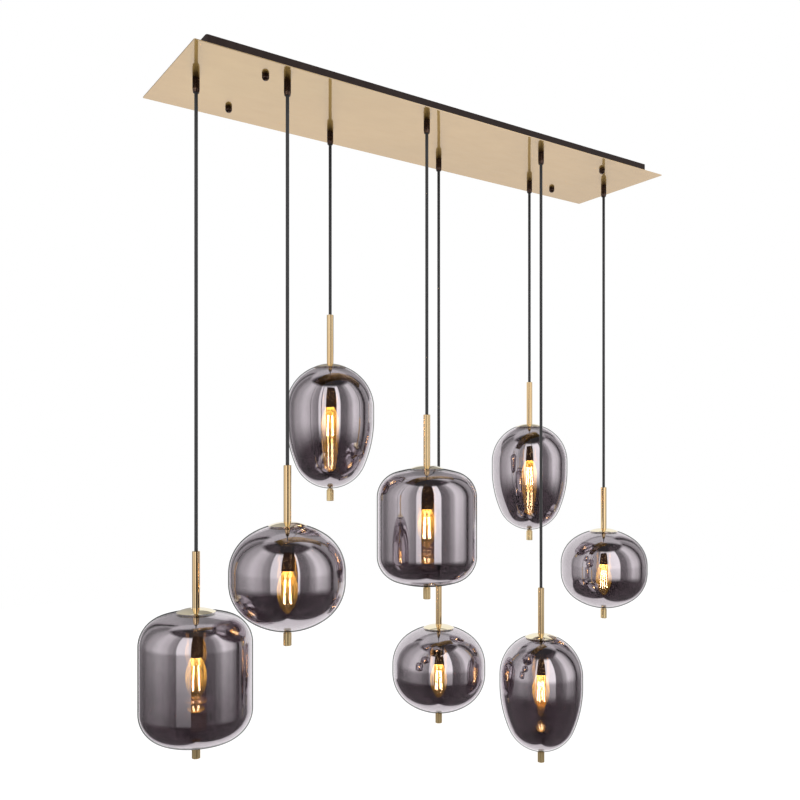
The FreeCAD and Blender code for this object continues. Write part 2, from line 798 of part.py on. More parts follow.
def make_stem(number):
    """The brass stem with its threaded neck and bell mouth, and the spun cap that it clamps on the glass."""
    neck_end = f"({bar_height(number)}-bar_thickness-stem_neck_grip)"
    stem = turned(
        f"stem_tube_{number}",
        [
            (CORD_BORE, neck_end),
            ("stem_neck_radius", neck_end),
            ("stem_neck_radius", "cap_height"),
            ("stem_radius", "cap_height"),
            ("stem_radius", f"{STEM_TOP}-stem_chamfer"),
            ("stem_radius-stem_chamfer", STEM_TOP),
            ("bell_radius", STEM_TOP),
            (CORD_BORE, TILT_PIVOT),
        ],
    )
    hole = "stem_neck_radius+thread_gap"
    edges = [
        crown_height(SHADE_TYPES[number - 1], radius, "0") + "+seat_gap"
        for radius in ("(cap_radius-cap_wall)", "cap_radius")
    ]
    cap = turned(
        f"shade_cap_{number}",
        [
            (hole, "cap_height-cap_wall"),
            ("cap_flat_radius", "cap_height-cap_wall", "cap_crown_radius-cap_wall", -1),
            ("cap_radius-cap_wall", edges[0]),
            ("cap_radius", edges[1], "cap_crown_radius", 1),
            ("cap_flat_radius", "cap_height"),
            (hole, "cap_height"),
        ],
    )
    return place_pendant(join(f"stem_{number}", [stem, cap]), number)


def make_lamp_holder(number):
    """The lamp holder, the bar that holds the glass from inside, and the cord's last stretch in the stem."""
    bar_bottom = f"({bar_height(number)}-bar_thickness)"
    bar = new_body(f"shade_bar_{number}")
    blank = new_sketch(bar, "blank", "XY_Plane", bar_bottom)
    draw_outline(blank, rounded_rectangle("bar_length", "bar_width", "bar_corner"))
    draw_circle(blank, "0", "0", "stem_neck_radius+thread_gap")
    add_pad(bar, "sheet", blank, "bar_thickness")
    top = f"({bar_bottom}-seat_gap)"
    bottom = f"({top}-holder_length)"
    neck_hole = "stem_neck_radius+thread_gap"
    socket = "bulb_cap_radius+hole_gap"
    socket_top = f"{top}-holder_neck_depth"
    cup_bottom = f"{top}-holder_cup_height-holder_cup_slope"
    holder = turned(
        f"holder_body_{number}",
        [
            (neck_hole, top),
            (neck_hole, socket_top),
            (socket, socket_top),
            (socket, bottom),
            ("holder_radius-holder_edge", bottom),
            ("holder_radius", f"{bottom}+holder_edge"),
            ("holder_radius", cup_bottom),
            ("holder_cup_radius-holder_cup_slope", cup_bottom),
            ("holder_cup_radius", f"{top}-holder_cup_height"),
            ("holder_cup_radius", top),
        ],
    )
    cord_end = f"{TILT_PIVOT}-cord_radius-cord_gap"
    cord_foot = f"{bar_bottom}-stem_neck_grip"
    core = turned(
        f"cord_end_{number}",
        [("0", cord_foot), ("cord_radius", cord_foot), ("cord_radius", cord_end), ("0", cord_end)],
    )
    return place_pendant(join(f"lamp_holder_{number}", [holder, bar, core]), number)


def holder_mouth(number):
    """The height of the lamp holder's lower edge."""
    return f"({bar_height(number)}-bar_thickness-seat_gap-holder_length)"


def make_bulb(number):
    """The clear candle bulb: a thin glass envelope drawn to a point, and its screw cap."""
    mouth = holder_mouth(number)
    upper_rise = "(bulb_widest-bulb_shoulder)"
    upper_step = "(bulb_radius-bulb_shoulder_radius)"
    upper = f"(({upper_step}^2+{upper_rise}^2)/(2*{upper_step}))"
    drop = "(bulb_length-bulb_tip_radius-bulb_widest)"
    lower = f"((bulb_radius^2+{drop}^2-bulb_tip_radius^2)/(2*(bulb_radius-bulb_tip_radius)))"
    widest = f"{mouth}-bulb_widest"
    faces = []
    for depth in ("0", "bulb_wall"):
        share = f"(({lower}-{depth})/({lower}-bulb_tip_radius))"
        faces.append(
            [
                (f"bulb_neck_radius-{depth}", f"{mouth}+bulb_neck_length", None),
                (f"bulb_neck_radius-{depth}", f"{mouth}-seat_gap-{depth}", None),
                (f"bulb_shoulder_radius-{depth}", f"{mouth}-bulb_shoulder", f"{upper}-{depth}"),
                (f"bulb_radius-{depth}", widest, f"{lower}-{depth}"),
                (
                    f"bulb_radius-{lower}+({lower}-bulb_radius)*{share}",
                    f"{widest}-{drop}*{share}",
                    f"bulb_tip_radius-{depth}",
                ),
                ("0", f"{mouth}-bulb_length+{depth}", None),
            ]
        )
    outer, inner = faces
    outline = [(x, z) if bend is None else (x, z, bend, -1) for x, z, bend in outer]
    for i in range(len(inner) - 1, -1, -1):
        x, z, _ = inner[i]
        bend = inner[i - 1][2] if i else None
        outline.append((x, z) if bend is None else (x, z, bend, 1))
    envelope = turned(f"envelope_{number}", outline)
    shell = "bulb_cap_radius-bulb_cap_wall"
    cap_top = f"{mouth}+bulb_cap_length"
    contact_top = f"{cap_top}+bulb_contact_length"
    screw_cap = turned(
        f"screw_cap_{number}",
        [
            (shell, mouth),
            ("bulb_cap_radius", mouth),
            ("bulb_cap_radius", cap_top),
            ("bulb_contact_radius", contact_top),
            ("0", contact_top),
            ("0", f"{contact_top}-bulb_cap_wall"),
            ("bulb_contact_radius-bulb_cap_wall", f"{contact_top}-bulb_cap_wall"),
            (shell, f"{cap_top}-bulb_cap_wall"),
        ],
    )
    return place_pendant(join(f"bulb_{number}", [envelope, screw_cap]), number)


def make_finial(number):
    """The brass finial with its stud through the glass, and the round nut on it inside."""
    shade_type = SHADE_TYPES[number - 1]
    top = f"({foot_height(shade_type, 'foot_hole_radius', '0')}-seat_gap)"
    nut_bottom = f"({foot_height(shade_type, 'finial_nut_radius', 'glass_wall')}+seat_gap)"
    nut_top = f"{nut_bottom}+finial_nut_height"
    bottom = f"{top}-finial_length"
    shoulder = f"{top}-finial_neck_length"
    finial = turned(
        f"finial_body_{number}",
        [
            ("0", nut_top),
            ("0", bottom),
            ("finial_radius-finial_chamfer", bottom),
            ("finial_radius", f"{bottom}+finial_chamfer"),
            ("finial_radius", f"{shoulder}-finial_chamfer"),
            ("finial_radius-finial_chamfer", shoulder),
            ("finial_neck_radius", shoulder),
            ("finial_neck_radius", top),
            ("finial_stud_radius", top),
            ("finial_stud_radius", nut_top),
        ],
    )
    nut_hole = "finial_stud_radius+thread_gap"
    nut = turned(
        f"finial_nut_{number}",
        [
            (nut_hole, nut_bottom),
            ("finial_nut_radius", nut_bottom),
            ("finial_nut_radius", nut_top),
            (nut_hole, nut_top),
        ],
    )
    return place_pendant(join(f"finial_{number}", [finial, nut]), number)


# ---------------------------------------------------------------- build and write


def faulty(item):
    """Whether an object failed, or has no sound shape."""
    if {"Invalid", "Error"} & set(item.State):
        return True
    shape = getattr(item, "Shape", None)
    return shape is not None and item in sub_parts and (shape.isNull() or not shape.isValid())


sub_parts = [
    make_canopy_housing(),
    make_canopy_plate(),
    make_mounting_straps(),
    make_strap_studs(),
    make_strap_nuts(),
    make_cap_nuts(),
    make_cord_grips(),
    make_grip_nuts(),
    make_grip_screws(),
    make_cord_tails(),
    make_terminal_block(),
    make_terminal_screws(),
]
for pendant in PENDANTS:
    sub_parts += [
        make_cord(pendant),
        make_stem(pendant),
        make_lamp_holder(pendant),
        make_bulb(pendant),
        make_shade(pendant),
        make_finial(pendant),
    ]
doc.recompute()

faults = [item.Label for item in doc.Objects if faulty(item)]
if faults:
    raise SystemExit(f"these objects failed: {faults}")

os.makedirs("parts", exist_ok=True)
for sub_part in sub_parts:
    sub_part.Shape.exportStep(f"parts/{sub_part.Label}.step")
print(f"{len(sub_parts)} sub-parts, {sum(len(p.Shape.Solids) for p in sub_parts)} solids")
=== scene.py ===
"""The looks of the cluster pendant: eight smoked mirror glass shades on cords under one polished canopy."""

from __future__ import annotations

import json
import logging
import math
from abc import ABC, abstractmethod
from dataclasses import dataclass
from enum import Enum

import bpy
import numpy as np
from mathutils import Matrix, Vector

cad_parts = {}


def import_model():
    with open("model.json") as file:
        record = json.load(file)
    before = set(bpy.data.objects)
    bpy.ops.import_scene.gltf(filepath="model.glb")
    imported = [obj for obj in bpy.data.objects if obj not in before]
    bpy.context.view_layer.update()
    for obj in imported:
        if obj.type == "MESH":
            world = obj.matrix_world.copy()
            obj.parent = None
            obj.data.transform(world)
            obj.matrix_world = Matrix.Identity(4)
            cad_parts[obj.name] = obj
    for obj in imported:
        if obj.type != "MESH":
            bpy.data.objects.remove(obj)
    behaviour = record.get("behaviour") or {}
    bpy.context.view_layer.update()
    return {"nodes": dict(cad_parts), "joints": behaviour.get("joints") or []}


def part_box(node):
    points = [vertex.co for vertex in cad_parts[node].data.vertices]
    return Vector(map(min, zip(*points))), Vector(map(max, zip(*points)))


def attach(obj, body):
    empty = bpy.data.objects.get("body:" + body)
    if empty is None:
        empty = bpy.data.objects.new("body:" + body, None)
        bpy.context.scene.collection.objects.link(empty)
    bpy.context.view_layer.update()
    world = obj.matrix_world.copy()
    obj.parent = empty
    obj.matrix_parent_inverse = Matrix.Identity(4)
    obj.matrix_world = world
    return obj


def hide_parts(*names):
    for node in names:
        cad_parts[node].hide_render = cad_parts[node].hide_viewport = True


LOG = logging.getLogger("cluster_pendant")

MM = 0.001
Colour = tuple[float, float, float]
Point = tuple[float, float, float]
Bands = tuple[tuple[float, float], ...]
Socket = bpy.types.NodeSocket
Value = float | Colour | Socket  # what a socket takes: its own value, or a link from another socket

WHITE: Colour = (1.0, 1.0, 1.0)
GLASS_GLOSS = 0.045  # the share of light that clear glass mirrors when seen straight on


class ShadeForm(Enum):
    """The three shapes of blown glass, by the word that begins the name of each one's CAD node."""

    CYLINDER = "cylinder"
    GLOBE = "globe"
    EGG = "egg"


CYLINDER, GLOBE, EGG = ShadeForm

# the shape of the shade on each cord, from the left end of the canopy to the right
SHADE_FORMS = (CYLINDER, GLOBE, EGG, CYLINDER, GLOBE, EGG, EGG, GLOBE)


# ---- materials ----


class Graph:
    """A material's or the world's node tree, with short calls that add a node and set or link its sockets."""

    def __init__(self, tree: bpy.types.NodeTree) -> None:
        """Empties the tree and keeps it."""
        self.tree = tree
        tree.nodes.clear()

    def add(
        self, kind: str, sockets: dict[str | int, Value] | None = None, **settings: object
    ) -> bpy.types.Node:
        """Adds one node.

        Args:
            kind: the node's type name, without its ShaderNode beginning.
            sockets: values or other nodes' outputs, by input name or number, a colour as its three shares.
            settings: the node's own properties.

        Returns:
            The new node.
        """
        node = self.tree.nodes.new("ShaderNode" + kind)
        for name, value in settings.items():
            setattr(node, name, value)
        for name, value in (sockets or {}).items():
            if isinstance(value, Socket):
                self.tree.links.new(value, node.inputs[name])
            else:
                colour = node.inputs[name].type == "RGBA"
                node.inputs[name].default_value = (*value, 1.0) if colour else value
        return node

    def math(self, operation: str, *values: Value, clamp: bool = False) -> Socket:
        """Adds one Math node on numbers or sockets and returns its output."""
        return self.add("Math", dict(enumerate(values)), operation=operation, use_clamp=clamp).outputs[0]

    def place(self) -> Socket:
        """The point of the surface in the model's own frame, in metres."""
        return self.add("TexCoord").outputs["Object"]

    def noise(
        self, scale: float, detail: float = 2.0, roughness: float = 0.5, vector: Socket | None = None
    ) -> Socket:
        """Adds a noise texture and returns its value.

        Args:
            scale: how many patches there are in a metre.
            detail: how many finer layers it has.
            roughness: how strong the finer layers are.
            vector: where it is read, or None for the point of the surface.

        Returns:
            The noise, about 0.5 in the mean.
        """
        vector = self.place() if vector is None else vector
        sockets = {"Vector": vector, "Scale": scale, "Detail": detail, "Roughness": roughness}
        return self.add("TexNoise", sockets).outputs[0]

    def span(
        self,
        value: Value,
        low: float,
        high: float,
        to_low: float = 0.0,
        to_high: float = 1.0,
        smooth: bool = False,
    ) -> Socket:
        """Carries a value from one range of numbers to another, stopping at the ends.

        Args:
            value: the value or its socket.
            low: where the first range begins.
            high: where it ends.
            to_low: what low becomes.
            to_high: what high becomes.
            smooth: True to ease in and out, or False for a straight line.

        Returns:
            The new value.
        """
        sockets = {"Value": value, "From Min": low, "From Max": high, "To Min": to_low, "To Max": to_high}
        kind = "SMOOTHSTEP" if smooth else "LINEAR"
        return self.add("MapRange", sockets, interpolation_type=kind).outputs[0]

    def blend(self, factor: Value, first: Value, second: Value) -> Socket:
        """Mixes two colours by a factor and returns the output."""
        return self.add("Mix", {0: factor, 6: first, 7: second}, data_type="RGBA").outputs[2]

    def bump(
        self, height: Socket, strength: float, distance: float, over: Socket | None = None
    ) -> Socket:
        """Turns a height into a bump and returns the normal.

        Args:
            height: the height's socket, from 0 to 1.
            strength: how much of the bump is shown.
            distance: how deep it is, in metres.
            over: the normal of a coarser bump that it lies on, or None.

        Returns:
            The normal output.
        """
        sockets = {"Strength": strength, "Distance": distance, "Height": height}
        if over is not None:
            sockets["Normal"] = over
        return self.add("Bump", sockets).outputs[0]

    def facing(self) -> Socket:
        """How far the surface turns from the eye, from 0 straight on to 1 at the rim."""
        return self.add("LayerWeight", {"Blend": 0.5}).outputs["Facing"]

    def stretched(self, scale: Point) -> Socket:
        """The point of the surface with each axis scaled, which draws a noise out along the small ones."""
        return self.add("Mapping", {"Vector": self.place(), "Scale": scale}).outputs[0]

    def principled(self, **sockets: Value) -> Socket:
        """Adds a Principled shader, each socket by its name with _ for a space, and returns its output."""
        named = {name.replace("_", " "): value for name, value in sockets.items()}
        return self.add("BsdfPrincipled", named).outputs[0]

    def glossy(self, colour: Colour, **sockets: Value) -> Socket:
        """Adds a mirror shader and returns its output."""
        return self.add("BsdfGlossy", {"Color": colour, **sockets}).outputs[0]

    def clear(self, colour: Colour) -> Socket:
        """Adds a shader that lets tinted light straight through and returns its output."""
        return self.add("BsdfTransparent", {"Color": colour}).outputs[0]

    def emission(self, colour: Colour, strength: Value = 1.0) -> Socket:
        """Adds a shader that gives light and returns its output."""
        return self.add("Emission", {"Color": colour, "Strength": strength}).outputs[0]

    def mixed(self, share: Value, first: Socket, second: Socket) -> Socket:
        """Mixes two shaders by the second one's share and returns the output."""
        return self.add("MixShader", {0: share, 1: first, 2: second}).outputs[0]

    def gloss_share(self, straight: float, power: float = 5.0) -> Socket:
        """The share of light that a thin wall turns away, the same from both its sides.

        It is the share seen straight on, plus the rest times a power of how far the wall turns from the eye.

        Args:
            straight: the share seen straight on.
            power: how late it rises towards the rim, 5 for plain glass.

        Returns:
            The share's output.
        """
        late = self.math("POWER", self.facing(), power)
        return self.math("MULTIPLY_ADD", late, 1.0 - straight, straight, clamp=True)


@dataclass(frozen=True)
class Finish(ABC):
    """A finish that makes its own material."""

    name: str

    @abstractmethod
    def surface(self, g: Graph) -> Socket:
        """Adds the finish's nodes to a graph.

        Args:
            g: the material's graph.

        Returns:
            The finish's shader.
        """

    def build(self) -> bpy.types.Material:
        """Makes the material.

        Returns:
            The material.
        """
        made = bpy.data.materials.new(self.name)
        made.use_nodes = True
        g = Graph(made.node_tree)
        g.add("OutputMaterial", {"Surface": self.surface(g)})
        return made


@dataclass(frozen=True)
class PolishedMetal(Finish):
    """A turned, polished metal with faint wiping marks and a painted light tint where it faces up or down."""

    colour: Colour
    shade: Colour
    # painted light: the tint of faces turned up or down
    flat: Colour
    roughness: float = 0.08
    metallic: float = 1.0
    wave: float = 0.03
    wave_scale: float = 9.0

    def surface(self, g: Graph) -> Socket:
        """The tint drifts between two colours and takes painted light facing up or down; the polish is finer
        in places.

        Args:
            g: the material's graph.

        Returns:
            The shader.
        """
        tint = g.blend(g.span(g.noise(14.0, 3.0), 0.3, 0.7), self.shade, self.colour)
        # painted light: where the surface faces up or down it takes the flat tint, set by its facing and not
        # by its metal
        painted_light_facing = g.add("SeparateXYZ", {"Vector": g.add("TexCoord").outputs["Normal"]}).outputs[2]
        tint = g.blend(g.span(g.math("ABSOLUTE", painted_light_facing), 0.35, 0.75, smooth=True), tint, self.flat)
        marks = g.noise(1900.0, 2.0, 0.6, g.stretched((1.0, 1.0, 0.12)))
        rough = g.span(marks, 0.3, 0.75, self.roughness * 0.7, self.roughness * 1.5)
        waves = g.bump(g.noise(self.wave_scale, 1.0), self.wave, 0.002)
        fine = g.bump(marks, 0.03, 0.0001, waves)
        return g.principled(Base_Color=tint, Metallic=self.metallic, Roughness=rough, Normal=fine)


@dataclass(frozen=True)
class MirrorPlate(Finish):
    """The canopy's flat plate: a pale polish over a deeper satin gold, with the low waves of thin sheet."""

    name: str = "champagne_mirror"
    polish: Colour = (0.82, 0.74, 0.68)
    satin: Colour = (0.76, 0.48, 0.13)
    cloudy: Colour = (0.70, 0.44, 0.11)
    satin_share: float = 0.6

    def surface(self, g: Graph) -> Socket:
        """A sharp mirror mixed with a cloudy satin, wiped in streaks, on long waves.

        Args:
            g: the material's graph.

        Returns:
            The shader.
        """
        tint = g.blend(g.span(g.noise(5.0, 4.0, 0.55), 0.35, 0.65), self.cloudy, self.satin)
        wiping = g.noise(60.0, 4.0, 0.6, g.stretched((0.35, 1.0, 1.0)))
        waves = g.bump(g.noise(7.0, 0.0), 0.35, 0.0018)
        grain = g.bump(g.noise(2600.0, 1.0), 0.015, 0.0001, waves)
        clean = g.span(wiping, 0.35, 0.75, 0.02, 0.05)
        dull = g.span(wiping, 0.35, 0.75, 0.34, 0.42)
        mirror = g.principled(Base_Color=self.polish, Metallic=1.0, Roughness=clean, Normal=grain)
        satin = g.principled(Base_Color=tint, Metallic=1.0, Roughness=dull, Normal=grain)
        return g.mixed(self.satin_share, mirror, satin)


@dataclass(frozen=True)
class PowderCoat(Finish):
    """A sprayed and baked coat with the fine orange peel of powder paint, worn a little paler in spots."""

    colour: Colour
    worn: Colour
    roughness: float = 0.42

    def surface(self, g: Graph) -> Socket:
        """Fine peel for the bump, and dust that pales the colour and dulls the gloss.

        Args:
            g: the material's graph.

        Returns:
            The shader.
        """
        dust = g.noise(45.0, 5.0, 0.65)
        tint = g.blend(g.span(dust, 0.45, 0.8), self.colour, self.worn)
        rough = g.span(dust, 0.3, 0.8, self.roughness, self.roughness + 0.2)
        peel = g.bump(g.noise(1300.0, 2.0, 0.5), 0.25, 0.0002)
        return g.principled(Base_Color=tint, Roughness=rough, Specular_IOR_Level=0.25, Normal=peel)


@dataclass(frozen=True)
class DarkBronze(Finish):
    """Blackened bronze with a clear lacquer: dark brown, with a warm gleam where the light catches it."""

    name: str = "dark_bronze"
    colour: Colour = (0.10, 0.055, 0.04)
    worn: Colour = (0.25, 0.14, 0.08)

    def surface(self, g: Graph) -> Socket:
        """The brown is paler in small rubbed spots, and turning marks run round it.

        Args:
            g: the material's graph.

        Returns:
            The shader.
        """
        tint = g.blend(g.span(g.noise(220.0, 4.0, 0.6), 0.52, 0.75), self.colour, self.worn)
        rings = g.noise(2400.0, 1.0, 0.5, g.stretched((0.2, 0.2, 1.0)))
        return g.principled(
            Base_Color=tint,
            Metallic=0.85,
            Roughness=g.span(rings, 0.3, 0.7, 0.2, 0.34),
            Normal=g.bump(rings, 0.12, 0.0001),
            Coat_Weight=0.35,
            Coat_Roughness=0.12,
        )


@dataclass(frozen=True)
class ZincSteel(Finish):
    """Zinc-plated steel, bright blue-grey with the spangle of the plating."""

    name: str = "zinc_steel"
    dark: Colour = (0.46, 0.47, 0.48)
    bright: Colour = (0.62, 0.63, 0.64)

    def surface(self, g: Graph) -> Socket:
        """Flat crystal patches change the tint and the polish under fine scratches.

        Args:
            g: the material's graph.

        Returns:
            The shader.
        """
        cells = g.add("TexVoronoi", {"Vector": g.place(), "Scale": 190.0})
        patch = g.add("SeparateColor", {"Color": cells.outputs["Color"]}).outputs[0]
        tint = g.blend(patch, self.dark, self.bright)
        rough = g.span(patch, 0.0, 1.0, 0.24, 0.4)
        scratch = g.bump(g.noise(1500.0, 3.0, 0.7), 0.15, 0.0001)
        return g.principled(Base_Color=tint, Metallic=1.0, Roughness=rough, Normal=scratch)


@dataclass(frozen=True)
class TextileCord(Finish):
    """A braided textile sleeve in charcoal, with the slant ribs of its yarns and painted shade in the grooves
    between them.
    """

    name: str = "charcoal_braid_painted_groove_shade"
    yarn: Colour = (0.056, 0.056, 0.058)
    # painted shade: the colour of the low grooves between the yarns
    shade: Colour = (0.032, 0.032, 0.033)
    across: float = 1400.0
    along: float = 2600.0

    def surface(self, g: Graph) -> Socket:
        """The braid of the sleeve, with painted shade in its grooves.

        Two slant waves cross on the sleeve, sin(across (x + y) + along z) and sin(across (x - y) - along z).
        Their product is high where a yarn lies on top, and a fuzz of fine fibres is added to it.

        Args:
            g: the material's graph.

        Returns:
            The shader.
        """
        parts = g.add("SeparateXYZ", {"Vector": g.place()})
        east = g.math("MULTIPLY", g.math("ADD", parts.outputs[0], parts.outputs[1]), self.across)
        west = g.math("MULTIPLY", g.math("SUBTRACT", parts.outputs[0], parts.outputs[1]), self.across)
        rise = g.math("MULTIPLY", parts.outputs[2], self.along)
        one = g.math("SINE", g.math("ADD", east, rise))
        two = g.math("SINE", g.math("SUBTRACT", west, rise))
        weave = g.span(g.math("MULTIPLY", one, two), -1.0, 1.0)
        fuzz = g.noise(5200.0, 2.0, 0.6)
        height = g.math("ADD", g.math("MULTIPLY", weave, 0.8), g.math("MULTIPLY", fuzz, 0.2))
        return g.principled(
            # painted shade: the colour follows the height, darker where the braid lies low between yarns; the
            # fibre fuzz adds random tone
            Base_Color=g.blend(height, self.shade, self.yarn),
            Roughness=0.82,
            Sheen_Weight=0.25,
            Sheen_Roughness=0.5,
            Normal=g.bump(height, 0.25, 0.0003),
        )


@dataclass(frozen=True)
class BlackMoulding(Finish):
    """A glossy black moulded plastic, as on a lamp holder."""

    name: str = "black_moulding"
    colour: Colour = (0.012, 0.011, 0.011)
    handled: Colour = (0.03, 0.027, 0.026)

    def surface(self, g: Graph) -> Socket:
        """A faint moulded grain under a gloss that is duller in patches.

        Args:
            g: the material's graph.

        Returns:
            The shader.
        """
        patch = g.noise(160.0, 3.0)
        tint = g.blend(g.span(patch, 0.4, 0.7), self.colour, self.handled)
        rough = g.span(patch, 0.3, 0.7, 0.16, 0.3)
        grain = g.bump(g.noise(2200.0, 2.0), 0.08, 0.0001)
        return g.principled(Base_Color=tint, Roughness=rough, IOR=1.54, Normal=grain)


@dataclass(frozen=True)
class PaleMoulding(Finish):
    """The off-white polyamide of a terminal block."""

    name: str = "pale_moulding"
    shade: Colour = (0.62, 0.61, 0.56)
    colour: Colour = (0.75, 0.74, 0.7)
    depth: Point = (0.002, 0.002, 0.0016)

    def surface(self, g: Graph) -> Socket:
        """A milky plastic with a fine grain.

        Args:
            g: the material's graph.

        Returns:
            The shader.
        """
        patch = g.noise(90.0, 3.0)
        return g.principled(
            Base_Color=g.blend(patch, self.shade, self.colour),
            Roughness=g.span(patch, 0.3, 0.7, 0.38, 0.5),
            Subsurface_Weight=0.1,
            Subsurface_Radius=self.depth,
            Normal=g.bump(g.noise(1700.0, 2.0), 0.1, 0.0001),
        )


@dataclass(frozen=True)
class ClearSkin(Finish):
    """The outer face of a blown glass wall: clear and glossy, with a painted dark outline where the wall is
    seen edge on.
    """

    name: str = "clear_glass_skin_painted_rim"
    tint: Colour = (0.97, 0.965, 0.97)
    # painted shade: the dark matt colour of the outline where the wall turns edge on
    edge: Colour = (0.016, 0.013, 0.014)
    painted_rim_share: float = 0.95

    def surface(self, g: Graph) -> Socket:
        """Gloss over a clear pass with the low waves of blown glass, and a painted dark rim.

        Args:
            g: the material's graph.

        Returns:
            The shader.
        """
        waves = g.bump(g.noise(16.0, 1.0), 0.35, 0.0008)
        rough = g.span(g.noise(70.0, 4.0, 0.6), 0.5, 0.8, 0.0, 0.03)
        gloss = g.glossy(WHITE, Roughness=rough, Normal=waves)
        film = g.mixed(g.gloss_share(GLASS_GLOSS), g.clear(self.tint), gloss)
        # painted shade: a dark matt colour mixed in towards the rim, by how far the wall turns from the eye
        rim = g.span(g.facing(), 0.76, 0.9, 0.0, self.painted_rim_share, smooth=True)
        return g.mixed(rim, film, g.add("BsdfDiffuse", {"Color": self.edge}).outputs[0])


@dataclass(frozen=True)
class SmokedMirror(Finish):
    """The vapour coat on the inner face of the glass: a grey-mauve half mirror."""

    name: str = "smoked_half_mirror"
    through: Colour = (0.35, 0.30, 0.325)
    mirrored: Colour = (0.94, 0.88, 0.92)
    share: float = 0.53

    def surface(self, g: Graph) -> Socket:
        """Part of the light is mirrored, more of it near the rim, and the rest passes tinted.

        Args:
            g: the material's graph.

        Returns:
            The shader.
        """
        cloud = g.noise(24.0, 3.0, 0.55)
        waves = g.bump(g.noise(11.0, 1.0), 0.3, 0.001)
        dense = g.span(cloud, 0.3, 0.7, self.share - 0.03, self.share + 0.03)
        share = g.math("MULTIPLY_ADD", g.gloss_share(0.0, 3.0), 0.45, dense, clamp=True)
        rough = g.span(g.noise(50.0, 4.0, 0.6), 0.45, 0.8, 0.01, 0.045)
        mirror = g.glossy(self.mirrored, Roughness=rough, Normal=waves)
        return g.mixed(share, g.clear(self.through), mirror)


@dataclass(frozen=True)
class BulbGlass(Finish):
    """The bulb's thin clear envelope, with the golden streaks that the light of the filaments draws on it."""

    name: str = "bulb_glass_clear"
    tint: Colour = (1.0, 0.92, 0.76)
    glow: Colour = (1.0, 0.60, 0.09)
    strength: float = 10.0

    def surface(self, g: Graph) -> Socket:
        """Gloss over a clear pass, and a streaky glow that fades from neck to tip.

        Args:
            g: the material's graph.

        Returns:
            The shader.
        """
        streaks = g.span(g.noise(430.0, 2.0, 0.55, g.stretched((1.0, 1.0, 0.1))), 0.38, 0.66, 0.15, 1.7)
        reach = g.add("Attribute", attribute_name="reach").outputs["Fac"]
        near = g.span(reach, 0.0, 0.16, 1.0, 0.32, smooth=True)
        far = g.span(reach, 0.3, 0.85, 1.0, 0.12, smooth=True)
        limb = g.math("MULTIPLY_ADD", g.math("POWER", g.facing(), 2.5), 0.25, 0.6)
        light = g.math("MULTIPLY", g.math("MULTIPLY", near, far), g.math("MULTIPLY", streaks, limb))
        glow = g.emission(self.glow, g.math("MULTIPLY", light, self.strength))
        film = g.mixed(g.gloss_share(GLASS_GLOSS), g.clear(self.tint), g.glossy(WHITE, Roughness=0.02))
        return g.add("AddShader", {0: film, 1: glow}).outputs[0]


@dataclass(frozen=True)
class Filament(Finish):
    """A filament's glowing phosphor, a little uneven along its length."""

    name: str = "filament_glow"
    colour: Colour = (1.0, 0.80, 0.44)
    strength: float = 34.0

    def surface(self, g: Graph) -> Socket:
        """A warm white light whose strength drifts along the rod."""
        uneven = g.span(g.noise(260.0), 0.3, 0.7, self.strength * 0.7, self.strength * 1.2)
        return g.emission(self.colour, uneven)


@dataclass(frozen=True)
class EvenLight(Finish):
    """A stage panel's own even light."""

    colour: Colour
    strength: float = 1.0

    def surface(self, g: Graph) -> Socket:
        """The light alone."""
        return g.emission(self.colour, self.strength)


@dataclass(frozen=True)
class PaleFloor(Finish):
    """A matt pale floor, lifted to white for the eye alone, so that soft shadows stay on it."""

    name: str = "pale_floor"
    grey: Colour = (0.62, 0.62, 0.62)
    lift: float = 0.56

    def surface(self, g: Graph) -> Socket:
        """A matt grey plus the lift where the camera looks.

        Args:
            g: the material's graph.

        Returns:
            The shader.
        """
        seen = g.add("LightPath").outputs["Is Camera Ray"]
        matt = g.add("BsdfDiffuse", {"Color": self.grey}).outputs[0]
        lift = g.emission(WHITE, g.math("MULTIPLY", seen, self.lift))
        return g.add("AddShader", {0: matt, 1: lift}).outputs[0]


class Finishes:
    """Every finish of the lamp, made once and handed out by name."""

    def __init__(self) -> None:
        """Builds the materials."""
        # each polished metal's third colour is painted light on faces turned up or down: paler for the brass,
        # a touch darker for the finials
        self.brass = PolishedMetal(
            "polished_brass_painted_flat_light", (1.0, 0.76, 0.44), (0.97, 0.69, 0.37), (1.0, 0.90, 0.66), roughness=0.04
        ).build()
        self.finial_brass_painted_flat_light = PolishedMetal(
            "finial_brass_painted_flat_light",
            (1.0, 0.78, 0.42),
            (0.98, 0.72, 0.36),
            (0.97, 0.76, 0.43),
            roughness=0.05,
            metallic=0.72,
        ).build()
        self.plate = MirrorPlate().build()
        self.housing = PowderCoat("housing_coat", (0.026, 0.015, 0.013), (0.042, 0.028, 0.024)).build()
        self.zinc = ZincSteel().build()
        self.bronze = DarkBronze().build()
        self.cord = TextileCord().build()
        self.moulding = BlackMoulding().build()
        self.block = PaleMoulding().build()
        self.skin = ClearSkin().build()
        self.coat = SmokedMirror().build()
        self.bulb_glass = BulbGlass().build()
        self.filament = Filament().build()


# ---- surfaces ----


def mesh_object(name: str, points: np.ndarray, quads: np.ndarray) -> bpy.types.Object:
    """Puts points and four-cornered faces into a new smooth mesh object at the origin.

    Args:
        name: the object's name.
        points: an array of n rows of x, y and z, in metres.
        quads: an array of m rows of four corner numbers. A row whose last two are the same is a triangle.

    Returns:
        The object.
    """
    mesh = bpy.data.meshes.new(name)
    faces = [row[:3] if row[2] == row[3] else row for row in quads.tolist()]
    mesh.from_pydata(points.tolist(), [], faces)
    mesh.polygons.foreach_set("use_smooth", np.ones(len(faces), dtype=bool))
    mesh.update()
    made = bpy.data.objects.new(name, mesh)
    bpy.context.scene.collection.objects.link(made)
    return made


